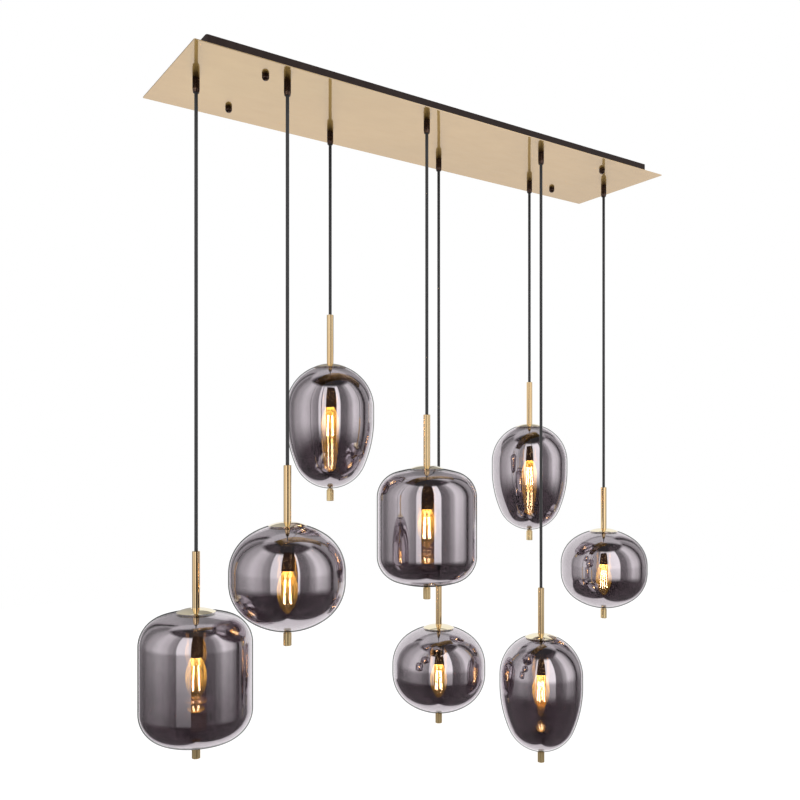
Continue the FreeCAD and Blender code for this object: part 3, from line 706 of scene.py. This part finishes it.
def ring_faces(rows: int, sides: int, closed: bool) -> np.ndarray:
    """Numbers the faces between rings of points, ring by ring.

    Args:
        rows: how many rings there are.
        sides: how many points each ring has.
        closed: True where the last ring joins the first. Otherwise each end is capped by a fan to one more
            point, numbered after the rings: the first ring's and then the last ring's.

    Returns:
        The four-cornered faces, with a cap's triangles as rows whose last two corners are the same.
    """
    here = np.arange(rows if closed else rows - 1)[:, None]
    there = (here + 1) % rows
    step = np.arange(sides)[None, :]
    turn = (step + 1) % sides
    corners = [here * sides + step, there * sides + step, there * sides + turn, here * sides + turn]
    quads = np.stack(corners, axis=2).reshape(-1, 4)
    if closed:
        return quads
    first, last = np.arange(sides), (rows - 1) * sides + np.arange(sides)
    after, before = np.roll(first, -1), np.roll(last, -1)
    top, foot = np.full(sides, rows * sides), np.full(sides, rows * sides + 1)
    caps = [np.stack([top, first, after, after], axis=1), np.stack([foot, before, last, last], axis=1)]
    return np.vstack([quads, *caps])


def turned(profile: np.ndarray, axis: Point, sides: int, closed: bool) -> tuple[np.ndarray, np.ndarray]:
    """Turns a profile round a vertical axis.

    The point for profile row (r, z) and angle a is (x + r cos a, y + r sin a, z), a grid of rows by angles.
    The rows run clockwise as seen with r to the right and z up, so the faces point out of the solid.

    Args:
        profile: rows of radius and height, in metres.
        axis: a point of the axis.
        sides: how many steps there are in a turn.
        closed: True where the profile is a loop, and False where both its ends are capped on the axis.

    Returns:
        The points and the four-cornered faces.
    """
    angles = np.linspace(0.0, 2.0 * np.pi, sides, endpoint=False)
    radius = profile[:, 0][:, None]
    x = axis[0] + radius * np.cos(angles)[None, :]
    y = axis[1] + radius * np.sin(angles)[None, :]
    z = np.repeat(profile[:, 1][:, None], sides, axis=1)
    points = np.stack([x, y, z], axis=2).reshape(-1, 3)
    if not closed:
        points = np.vstack([points, [[*axis[:2], profile[0, 1]], [*axis[:2], profile[-1, 1]]]])
    return points, ring_faces(len(profile), sides, closed)


def tube(path: np.ndarray, radius: float, sides: int) -> tuple[np.ndarray, np.ndarray]:
    """Carries a circle along an open path and caps its ends.

    The ring at a path point lies in the plane across the path's direction there, with its first axis as near
    to the radial direction from the path's mean line as that plane allows.

    Args:
        path: rows of x, y and z, in metres.
        radius: the tube's radius, in metres.
        sides: how many corners the circle has.

    Returns:
        The points and the four-cornered faces.
    """
    ahead = np.gradient(path, axis=0)
    ahead /= np.linalg.norm(ahead, axis=1, keepdims=True)
    out = path - path.mean(axis=0)
    out[:, 2] = 0.0
    out += 1e-9
    out -= (out * ahead).sum(axis=1, keepdims=True) * ahead
    out /= np.linalg.norm(out, axis=1, keepdims=True)
    side = np.cross(out, ahead)
    angles = np.linspace(0.0, 2.0 * np.pi, sides, endpoint=False)[None, :, None]
    ring = radius * (np.cos(angles) * out[:, None, :] + np.sin(angles) * side[:, None, :])
    points = (path[:, None, :] + ring).reshape(-1, 3)
    return np.vstack([points, path[:1], path[-1:]]), ring_faces(len(path), sides, False)


def joined(parts: list[tuple[np.ndarray, np.ndarray]]) -> tuple[np.ndarray, np.ndarray]:
    """Puts surfaces into one pair of arrays, the corner numbers of each moved past the points before it.

    Args:
        parts: the points and faces of each surface.

    Returns:
        The points and the faces of them all.
    """
    counts = np.cumsum([0] + [len(points) for points, _ in parts[:-1]])
    quads = np.vstack([faces + count for (_, faces), count in zip(parts, counts)])
    return np.vstack([points for points, _ in parts]), quads


def arc(centre: tuple[float, float], radius: float, start: float, end: float, count: int) -> np.ndarray:
    """Rows of radius and height on an arc: (cr + R cos a, cz + R sin a), a from start to end in degrees."""
    angles = np.radians(np.linspace(start, end, count))
    return np.stack([centre[0] + radius * np.cos(angles), centre[1] + radius * np.sin(angles)], axis=1)


# ---- the parts of a pendant ----


@dataclass(frozen=True)
class RoundedForm:
    """A globe or rounded cylinder, in mm: a dome above and below, joined by corner arcs and a side."""

    radius: float
    height: float
    dome_radius: float
    corner_radius: float


@dataclass
class Shade:
    """One blown glass shade: a closed wall, clear outside, with the half mirror coat on its inner face."""

    number: int
    form: ShadeForm
    finishes: Finishes
    wall: float = 2.6
    opening: float = 28.5
    foot_hole: float = 2.6
    sides: int = 160
    globe: RoundedForm = RoundedForm(97.6, 178.0, 115.0, 75.0)
    cylinder: RoundedForm = RoundedForm(93.5, 220.0, 200.0, 50.0)
    egg_radius: float = 85.0
    egg_belt: float = 20.0
    egg_height: float = 235.0
    egg_tip_radius: float = 72.0
    crown_steps: int = 16
    arc_steps: int = 26
    egg_steps: tuple[int, int, int] = (40, 30, 30)

    def node(self) -> str:
        """The name of the CAD node that this shade stands for."""
        return f"{self.form.value}_shade_{self.number}"

    def face(self, inset: float) -> np.ndarray:
        """The profile of the wall's outer face moved in by an inset, from the opening down to the foot.

        Each form is a chain of arcs that touch: (r, z) = centre + (radius - inset) times (cos a, sin a), with
        z 0 at the plane of the opening.

        Args:
            inset: how far inside the outer face it lies, in millimetres.

        Returns:
            Rows of radius and height, in millimetres.
        """
        if self.form is EGG:
            return self.egg_face(inset)
        form = self.globe if self.form is GLOBE else self.cylinder
        level = -math.sqrt(form.dome_radius**2 - self.opening**2)
        foot = form.dome_radius - form.height
        reach, spread = form.radius - form.corner_radius, form.dome_radius - form.corner_radius
        lean = math.degrees(math.acos(reach / spread))
        rise = spread * math.sin(math.radians(lean))
        dome, corner = form.dome_radius - inset, form.corner_radius - inset
        start = math.degrees(math.acos(self.opening / dome))
        end = -math.degrees(math.acos(self.foot_hole / dome))
        return np.vstack(
            [
                arc((0.0, level), dome, start, lean, self.crown_steps)[:-1],
                arc((reach, level + rise), corner, lean, 0.0, self.arc_steps),
                arc((reach, foot - rise), corner, 0.0, -lean, self.arc_steps),
                arc((0.0, foot), dome, -lean, end, self.arc_steps)[1:],
            ]
        )

    def egg_face(self, inset: float) -> np.ndarray:
        """The egg's profile: crown, short belt, long side arc and tip, moved in by an inset.

        With belt radius w, tip radius t and d between the levels of their centres, the side arc's radius is
        (w squared + d squared - t squared) / (2 (w - t)), which touches both.

        Args:
            inset: how far inside the outer face it lies, in millimetres.

        Returns:
            Rows of radius and height, in millimetres.
        """
        wide, tip = self.egg_radius, self.egg_tip_radius
        level = -math.sqrt(wide**2 - self.opening**2)
        belt, tip_level = level - self.egg_belt, tip - self.egg_height
        drop = belt - tip_level
        side = (wide**2 + drop**2 - tip**2) / (2.0 * (wide - tip))
        lean = math.degrees(math.atan2(drop, side - wide))
        start = math.degrees(math.acos(self.opening / (wide - inset)))
        end = -math.degrees(math.acos(self.foot_hole / (tip - inset)))
        crown_steps, side_steps, tip_steps = self.egg_steps
        return np.vstack(
            [
                arc((0.0, level), wide - inset, start, 0.0, crown_steps),
                arc((wide - side, belt), side - inset, 0.0, -lean, side_steps),
                arc((0.0, tip_level), tip - inset, -lean, end, tip_steps)[1:],
            ]
        )

    def build(self) -> None:
        """Turns the wall's closed profile into the shade and puts it in the place of its CAD node."""
        outer, inner = self.face(0.0), self.face(self.wall)[::-1]
        profile = np.vstack([outer, inner]) * MM
        low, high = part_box(self.node())
        axis = ((low.x + high.x) / 2, (low.y + high.y) / 2, 0.0)
        profile[:, 1] += high.z
        points, quads = turned(profile, axis, self.sides, True)
        made = mesh_object(f"glass_shade_{self.number}", points, quads)
        made.data.materials.append(self.finishes.skin)
        made.data.materials.append(self.finishes.coat)
        slots = np.where(np.arange(len(quads)) // self.sides < len(outer) - 1, 0, 1)
        made.data.polygons.foreach_set("material_index", slots.astype(np.int32))
        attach(made, f"pendant_{self.number}")
        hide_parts(self.node())


@dataclass
class Bulb:
    """One candle bulb: clear envelope, screw cap, glass mount, four filament rods and their wires."""

    number: int
    finishes: Finishes
    cap_length: float = 19.0
    cap_radius: float = 6.6
    thread_depth: float = 0.28
    thread_pitch: float = 2.82
    neck_radius: float = 6.5
    widest: float = 17.6
    widest_at: float = 33.0
    length: float = 73.0
    rod_radius: float = 1.05
    rod_top: float = 15.0
    rod_foot: float = 55.0
    rod_reach: tuple[float, float] = (5.2, 7.6)
    rods: int = 4
    turn: float = 0.45
    bead: float = 14.0
    wire_radius: float = 0.28
    wire_spread: float = 1.2
    wire_drop: float = 5.0

    def axis(self) -> Point:
        """The point of the bulb's axis at its neck, where the cap ends and the envelope begins."""
        low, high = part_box(f"bulb_{self.number}")
        return ((low.x + high.x) / 2, (low.y + high.y) / 2, low.z + self.length * MM)

    def envelope_profile(self) -> np.ndarray:
        """The envelope's profile, from the neck down to the tip.

        With s from 0 at the neck to 1 at the widest place, the radius is the neck's plus the rest times the
        power 0.8 of sin(pi s / 2), which gives a round shoulder. Below, with t from 0 there to 1 at the tip,
        it is the widest radius times the power 0.72 of (1 - t squared), which gives a candle's point.

        Returns:
            Rows of radius and depth below the neck, in millimetres.
        """
        s = np.linspace(0.0, 1.0, 36) ** 1.5
        rise = np.sin(0.5 * np.pi * s) ** 0.8
        swell = self.widest - self.neck_radius
        upper = np.stack([self.neck_radius + swell * rise, -self.widest_at * s], axis=1)
        t = np.sin(np.linspace(0.0, 0.5 * np.pi, 44))[1:-1]
        fall = self.widest_at + (self.length - self.widest_at) * t
        lower = np.stack([self.widest * (1.0 - t * t) ** 0.72, -fall], axis=1)
        return np.vstack([upper, lower, [[0.25, -self.length]]])

    def build(self) -> None:
        """Makes the bulb's pieces in the place of its CAD node."""
        f = self.finishes
        envelope = self.envelope()
        pieces = [(envelope, f.bulb_glass), (self.cap(), f.brass), (self.mount(), f.skin)]
        pieces += [(self.filaments(), f.filament), (self.wires(), f.zinc)]
        for piece, finish in pieces:
            piece.data.materials.append(finish)
            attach(piece, f"pendant_{self.number}")
        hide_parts(f"bulb_{self.number}")

    def envelope(self) -> bpy.types.Object:
        """The glass envelope, with an attribute that runs from 0 at its neck to 1 at its tip.

        Returns:
            The envelope's object.
        """
        x, y, z = self.axis()
        body = self.envelope_profile() * MM + np.array([0.0, z])
        made = mesh_object(f"bulb_envelope_{self.number}", *turned(body, (x, y, 0.0), 64, False))
        place = np.empty(len(made.data.vertices) * 3)
        made.data.vertices.foreach_get("co", place)
        reach = made.data.attributes.new("reach", "FLOAT", "POINT")
        reach.data.foreach_set("value", (z - place[2::3]) / (self.length * MM))
        return made

    def cap(self) -> bpy.types.Object:
        """The screw cap, with a true thread below a shoulder that draws in to the contact.

        The radius is the mean plus the thread's depth times cos(2 pi z / pitch - angle). The thread fades in
        and out at the ends of its share of the cap, and above it the mean draws in to a share that is left.

        Returns:
            The cap's object.
        """
        x, y, z = self.axis()
        rows, sides = 96, 48
        share = np.linspace(0.0, 1.0, rows)
        angle = np.linspace(0.0, 2.0 * np.pi, sides, endpoint=False)
        height = share * self.cap_length
        thread, fading, left = 0.86, 0.08, 0.38
        fade = np.clip(np.minimum(share / fading, (thread - share) / fading), 0.0, 1.0)
        shoulder = 1.0 - (1.0 - left) * np.clip((share - thread) / (1.0 - thread), 0.0, 1.0) ** 1.5
        wave = np.cos(2.0 * np.pi * height[:, None] / self.thread_pitch - angle[None, :])
        radius = (self.cap_radius * shoulder[:, None] + self.thread_depth * fade[:, None] * wave) * MM
        up = np.repeat((z + height * MM)[:, None], sides, axis=1)
        rings = np.stack([x + radius * np.cos(angle), y + radius * np.sin(angle), up], axis=2)[::-1]
        points = np.vstack([rings.reshape(-1, 3), [[x, y, z + self.cap_length * MM], [x, y, z]]])
        return mesh_object(f"bulb_cap_{self.number}", points, ring_faces(rows, sides, False))

    def mount(self) -> bpy.types.Object:
        """The glass mount inside: it flares at the neck and narrows to the bead that holds the wires.

        Returns:
            The mount's object.
        """
        x, y, z = self.axis()
        radii = [0.2, 4.6, 4.9, 3.2, 2.0, 1.7, 2.3, 1.8, 0.2]
        levels = [-0.5, -0.6, -3.0, -7.0, -10.0, -12.0, -13.5, -15.5, -16.2]
        t = np.linspace(0.0, len(radii) - 1.0, 40)
        smooth = np.stack([np.interp(t, np.arange(len(radii)), row) for row in (radii, levels)], axis=1)
        body = smooth * MM + np.array([0.0, z])
        return mesh_object(f"bulb_mount_{self.number}", *turned(body, (x, y, 0.0), 24, False))

    def rod_angles(self) -> list[float]:
        """The angles round the axis at which the filament rods stand, in radians."""
        return [self.turn + 2.0 * math.pi * k / self.rods for k in range(self.rods)]

    def filaments(self) -> bpy.types.Object:
        """The straight rods, whose distance from the axis runs from one of rod_reach to the other.

        Returns:
            The rods' object.
        """
        x, y, z = self.axis()
        t = np.linspace(0.0, 1.0, 7)
        out = (self.rod_reach[0] + (self.rod_reach[1] - self.rod_reach[0]) * t) * MM
        height = z - (self.rod_top + (self.rod_foot - self.rod_top) * t) * MM
        rods = []
        for a in self.rod_angles():
            path = np.stack([x + out * math.cos(a), y + out * math.sin(a), height], axis=1)
            rods.append(tube(path, self.rod_radius * MM, 10))
        return mesh_object(f"bulb_filaments_{self.number}", *joined(rods))

    def wires(self) -> bpy.types.Object:
        """The thin wires: one from the bead to the top of each rod, and one from its foot round to the axis.

        With t from 0 to 1, an upper wire runs straight, and a lower one follows a quarter of an ellipse: its
        distance from the axis is about the rod's times cos(pi t / 2), and its drop is wire_drop times
        sin(pi t / 2).

        Returns:
            The wires' object.
        """
        x, y, z = self.axis()
        t = np.linspace(0.0, 1.0, 9)
        made = []
        for a in self.rod_angles():
            way = np.array([math.cos(a), math.sin(a)])
            upper = self.wire_spread + (self.rod_reach[0] - self.wire_spread) * t
            lower = self.rod_reach[1] * np.cos(0.5 * np.pi * t) * 0.98 + 0.1
            tops = -self.bead - (self.rod_top - self.bead) * t
            feet = -self.rod_foot - self.wire_drop * np.sin(0.5 * np.pi * t)
            for out, fall in ((upper, tops), (lower, feet)):
                path = np.stack([x + out * way[0] * MM, y + out * way[1] * MM, z + fall * MM], axis=1)
                made.append(tube(path, self.wire_radius * MM, 6))
        return mesh_object(f"bulb_wires_{self.number}", *joined(made))


@dataclass
class Cord:
    """One free cord, from its grip in the canopy down into the stem: a straight taut run."""

    number: int
    finishes: Finishes
    diameter: float = 0.006

    def build(self, top: Point, foot: Point) -> None:
        """Draws the cord as one open spline between its two ends.

        Args:
            top: where it leaves its grip, in metres.
            foot: where it goes into the stem, in metres.
        """
        curve = bpy.data.curves.new(f"cord_line_{self.number}", "CURVE")
        curve.dimensions = "3D"
        curve.bevel_depth = self.diameter / 2
        curve.bevel_resolution = 6
        curve.resolution_u = 12
        curve.use_fill_caps = True
        spline = curve.splines.new("NURBS")
        middle = tuple((a + b) / 2 for a, b in zip(top, foot))
        spline.points.add(2)
        for point, place in zip(spline.points, (top, middle, foot)):
            point.co = (*place, 1.0)
        spline.order_u = 3
        spline.use_endpoint_u = True
        spline.use_smooth = True
        made = bpy.data.objects.new(f"textile_cord_{self.number}", curve)
        bpy.context.scene.collection.objects.link(made)
        curve.materials.append(self.finishes.cord)
        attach(made, f"hanging_cord_{self.number}")
        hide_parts(f"cord_{self.number}")


def dress(node: bpy.types.Object, finish: bpy.types.Material) -> None:
    """Gives a CAD node one finish in every material slot.

    Args:
        node: the CAD node.
        finish: the finish's material.
    """
    if not node.material_slots:
        node.data.materials.append(finish)
    for slot in node.material_slots:
        slot.material = finish


@dataclass
class Pendant:
    """One of the eight pendants: cord, stem with its cap, glass shade, lamp holder, bulb and finial."""

    number: int
    form: ShadeForm
    finishes: Finishes
    nodes: dict[str, bpy.types.Object]
    pivots: dict[str, Point]

    def build(self) -> None:
        """Makes the pendant's new pieces and dresses the CAD nodes that stay."""
        n = self.number
        Cord(n, self.finishes).build(self.pivots[f"swing_{n}"], self.pivots[f"tilt_{n}"])
        Shade(n, self.form, self.finishes).build()
        Bulb(n, self.finishes).build()
        dress(self.nodes[f"stem_{n}"], self.finishes.brass)
        dress(self.nodes[f"finial_{n}"], self.finishes.finial_brass_painted_flat_light)
        dress(self.nodes[f"lamp_holder_{n}"], self.finishes.moulding)
        LOG.info("pendant %d, a %s", n, self.form.value)


@dataclass
class Canopy:
    """The canopy on the ceiling: housing, mirror plate, hangers and fixings, the cords' grips and wiring."""

    finishes: Finishes
    nodes: dict[str, bpy.types.Object]

    def build(self) -> None:
        """Dresses every CAD node of the canopy."""
        f = self.finishes
        dressed = {
            "canopy_housing": f.housing,
            "canopy_plate": f.plate,
            "mounting_straps": f.zinc,
            "strap_studs": f.zinc,
            "strap_nuts": f.zinc,
            "cap_nuts": f.bronze,
            "cord_grips": f.bronze,
            "grip_nuts": f.zinc,
            "grip_screws": f.bronze,
            "cord_tails": f.cord,
            "terminal_block": f.block,
            "terminal_screws": f.zinc,
        }
        for name, finish in dressed.items():
            dress(self.nodes[name], finish)
            LOG.info("%s in %s", name, finish.name)


# ---- the studio ----


@dataclass
class Studio:
    """The plain studio: camera, pale floor, soft lamp, and what polished metal and mirrored glass reflect.

    Lengths are in metres, the lens in millimetres, the heading in radians, and the horizon and the crown's
    edge in degrees above level. The rise is the picture's shift as a share of its width.
    """

    camera_place: Point = (-1.0034, -1.3590, -0.6665)
    heading: float = -0.597
    lens: float = 38.19
    rise: float = 0.0795
    floor_level: float = -2.3
    floor_half: float = 9.0
    backdrop_ahead: float = 0.6
    backdrop_level: float = -0.85
    backdrop_half: tuple[float, float] = (0.64, 0.48)
    backdrop_light: float = 0.92
    card_ahead: float = 0.3
    card_aside: float = 0.06
    card_lift: float = 0.3
    card_half: tuple[float, float] = (0.33, 1.6)
    card_colour: Colour = (0.03, 0.018, 0.014)
    lamp_offset: Point = (-0.6, -0.4, 2.0)
    lamp_aim: Point = (0.0, 0.0, -0.6)
    lamp_side: float = 2.2
    lamp_watts: float = 26.0
    horizon: tuple[float, float] = (-25.0, 1.0)
    crown_edge: tuple[float, float] = (52.0, 60.0)
    crown_seam: tuple[float, float] = (0.0, 0.2)
    crown_before: Colour = (0.05, 0.047, 0.049)
    crown_behind: Colour = (0.75, 0.74, 0.75)
    world_light: float = 0.8

    def build(self) -> None:
        """Makes the whole studio."""
        self.camera()
        self.floor()
        self.world()
        self.backdrop()
        self.lamp()
        bpy.context.scene.view_settings.view_transform = "Standard"
        bpy.context.scene.cycles.transparent_max_bounces = 32
        LOG.info("studio")

    def ahead(self) -> np.ndarray:
        """The level direction in which the camera looks."""
        return np.array([math.sin(-self.heading), math.cos(-self.heading), 0.0])

    def aside(self) -> np.ndarray:
        """The level direction to the camera's right."""
        ahead = self.ahead()
        return np.array([ahead[1], -ahead[0], 0.0])

    def camera(self) -> None:
        """Sets the camera level at the photograph's place, its picture shifted up."""
        data = bpy.data.cameras.new("camera")
        data.lens, data.sensor_width = self.lens, 36.0
        data.shift_y = self.rise
        data.clip_end = 60.0
        made = bpy.data.objects.new("camera", data)
        made.location = self.camera_place
        made.rotation_euler = (math.pi / 2, 0.0, self.heading)
        bpy.context.scene.collection.objects.link(made)
        bpy.context.scene.camera = made

    def panel(
        self, name: str, centre: np.ndarray, across: np.ndarray, up: np.ndarray, finish: Finish
    ) -> bpy.types.Object:
        """Adds one flat stage panel: the point for (s, t), each from -1 to 1, is centre + s across + t up.

        Args:
            name: the panel's name.
            centre: its middle.
            across: from its middle to the middle of one side.
            up: from its middle to the middle of the next side.
            finish: what it is painted or lit with.

        Returns:
            The panel's object.
        """
        cells = 8
        row = cells + 1
        s, t = np.meshgrid(np.linspace(-1.0, 1.0, row), np.linspace(-1.0, 1.0, row))
        points = centre + s.reshape(-1, 1) * across + t.reshape(-1, 1) * up
        base = (np.arange(cells)[:, None] * row + np.arange(cells)[None, :]).reshape(-1)
        made = mesh_object(name, points, np.stack([base, base + 1, base + row + 1, base + row], axis=1))
        made.data.materials.append(finish.build())
        return made

    def floor(self) -> None:
        """A plain pale floor far below the shades, which shows white and keeps their soft shadow."""
        east, north, _ = np.eye(3) * self.floor_half
        made = self.panel("floor", np.array([0.0, 0.0, self.floor_level]), east, north, PaleFloor())
        made.visible_glossy = False

    def backdrop(self) -> None:
        """A white backdrop behind the lamp and a tall dark card before the camera, for reflections only."""
        ahead, aside, up = self.ahead(), self.aside(), np.array([0.0, 0.0, 1.0])
        wide, high = self.backdrop_half
        centre = ahead * self.backdrop_ahead + up * self.backdrop_level
        paper = EvenLight("backdrop_paper", WHITE, self.backdrop_light)
        back = self.panel("backdrop", centre, aside * wide, up * high, paper)
        wide, high = self.card_half
        centre = ahead * self.card_ahead + aside * self.card_aside + up * self.card_lift
        centre += np.array(self.camera_place)
        black = EvenLight("camera_card_black", self.card_colour)
        card = self.panel("camera_card", centre, aside * wide, up * high, black)
        for made in (back, card):
            made.visible_camera = False
            made.visible_diffuse = False
            made.visible_shadow = False
            made.visible_transmission = False

    def lamp(self) -> None:
        """One wide soft lamp above and to the left of the camera."""
        data = bpy.data.lights.new("soft_lamp", "AREA")
        data.shape, data.size, data.size_y = "RECTANGLE", self.lamp_side, self.lamp_side
        data.energy = self.lamp_watts
        made = bpy.data.objects.new("soft_lamp", data)
        place = np.array(self.camera_place) + np.array(self.lamp_offset)
        made.location = place
        aim = np.array(self.lamp_aim) - place
        pitch = math.atan2(math.hypot(aim[0], aim[1]), -aim[2])
        made.rotation_euler = (pitch, 0.0, math.atan2(-aim[0], aim[1]))
        made.visible_camera = False
        made.visible_glossy = False
        bpy.context.scene.collection.objects.link(made)

    def world(self) -> None:
        """The light all round: white to the eye, a little less as light, and banded to a mirror.

        To a mirror, the brightness depends on the level angle from the camera's side, by UPPER_BANDS above a
        soft horizon somewhat below level and by LOWER_BANDS under it. The crown overhead is dark on the
        camera's side and pale behind the lamp, with crown_seam as the reach ahead over which it changes.
        """
        world = bpy.data.worlds.new("studio_world")
        bpy.context.scene.world = world
        world.use_nodes = True
        g = Graph(world.node_tree)
        way = g.add("TexCoord").outputs["Generated"]
        ahead, aside = self.ahead(), self.aside()
        deep = g.add("VectorMath", {0: way, 1: tuple(ahead)}, operation="DOT_PRODUCT").outputs["Value"]
        wide = g.add("VectorMath", {0: way, 1: tuple(aside)}, operation="DOT_PRODUCT").outputs["Value"]
        angle = g.math("ARCTAN2", wide, g.math("MULTIPLY", deep, -1.0))
        turn = g.span(angle, -math.pi, math.pi)
        high = g.add("SeparateXYZ", {"Vector": way}).outputs[2]
        upper = self.ramp(g, turn, UPPER_BANDS)
        lower = self.ramp(g, turn, LOWER_BANDS)
        above = g.span(high, *np.sin(np.radians(self.horizon)).tolist(), smooth=True)
        top = g.span(high, *np.sin(np.radians(self.crown_edge)).tolist(), smooth=True)
        behind = g.span(deep, *self.crown_seam, smooth=True)
        crown = g.blend(behind, self.crown_before, self.crown_behind)
        studio = g.blend(above, lower, g.blend(top, upper, crown))
        path = g.add("LightPath")
        seen = g.math("MAXIMUM", path.outputs["Is Camera Ray"], path.outputs["Is Transmission Ray"])
        light = g.span(seen, 0.0, 1.0, self.world_light, 1.0)
        plain = g.add("Background", {"Color": WHITE, "Strength": light}).outputs[0]
        mirrored = g.add("Background", {"Color": studio, "Strength": 1.0}).outputs[0]
        mixed = g.mixed(path.outputs["Is Glossy Ray"], plain, mirrored)
        g.add("OutputWorld", {"Surface": mixed})

    def ramp(self, g: Graph, turn: Socket, stops: Bands) -> Socket:
        """Adds a ramp of greys.

        Args:
            g: the graph it goes in.
            turn: where on the ramp it is read, from 0 to 1.
            stops: the place of each stop in degrees from the camera's side, and its brightness.

        Returns:
            The ramp's colour.
        """
        node = g.add("ValToRGB", {0: turn})
        node.color_ramp.interpolation = "EASE"
        elements = node.color_ramp.elements
        while len(elements) < len(stops):
            elements.new(0.5)
        for element, (place, bright) in zip(elements, stops):
            element.position = (place + 180.0) / 360.0
            element.color = (bright, bright * 0.985, bright * 0.995, 1.0)
        return node.outputs[0]


# what a mirror sees above the horizon and below it: degrees from the camera's side, and the brightness there
UPPER_BANDS: Bands = (
    (-180.0, 0.30), (-146.0, 0.50), (-142.0, 0.03), (-137.0, 0.03), (-133.0, 0.45), (-118.0, 0.22),
    (-92.0, 0.58), (-66.0, 0.95), (-50.0, 0.78), (-38.0, 0.46), (-27.0, 0.34), (-26.0, 1.30),
    (31.0, 1.60), (33.0, 0.18), (48.0, 0.22), (60.0, 0.55), (72.0, 1.15), (88.0, 0.90),
    (102.0, 0.35), (105.0, 0.03), (111.0, 0.03), (115.0, 0.35), (134.0, 0.50), (138.0, 0.03),
    (143.0, 0.03), (147.0, 0.50), (180.0, 0.30),
)
LOWER_BANDS: Bands = (
    (-180.0, 0.92), (-150.0, 0.92), (-138.0, 0.06), (-80.0, 0.03), (0.0, 0.0), (80.0, 0.03),
    (138.0, 0.06), (150.0, 0.92), (180.0, 0.92),
)


def main() -> None:
    """Loads the frame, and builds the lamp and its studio."""
    logging.basicConfig(level=logging.INFO, format="%(name)s: %(message)s")
    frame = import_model()
    finishes = Finishes()
    pivots = {joint["name"]: tuple(joint["pos_m"]) for joint in frame["joints"]}
    Canopy(finishes, frame["nodes"]).build()
    for number, form in enumerate(SHADE_FORMS, start=1):
        Pendant(number, form, finishes, frame["nodes"], pivots).build()
    Studio().build()
    bpy.context.view_layer.update()


if __name__ == "__main__":
    main()
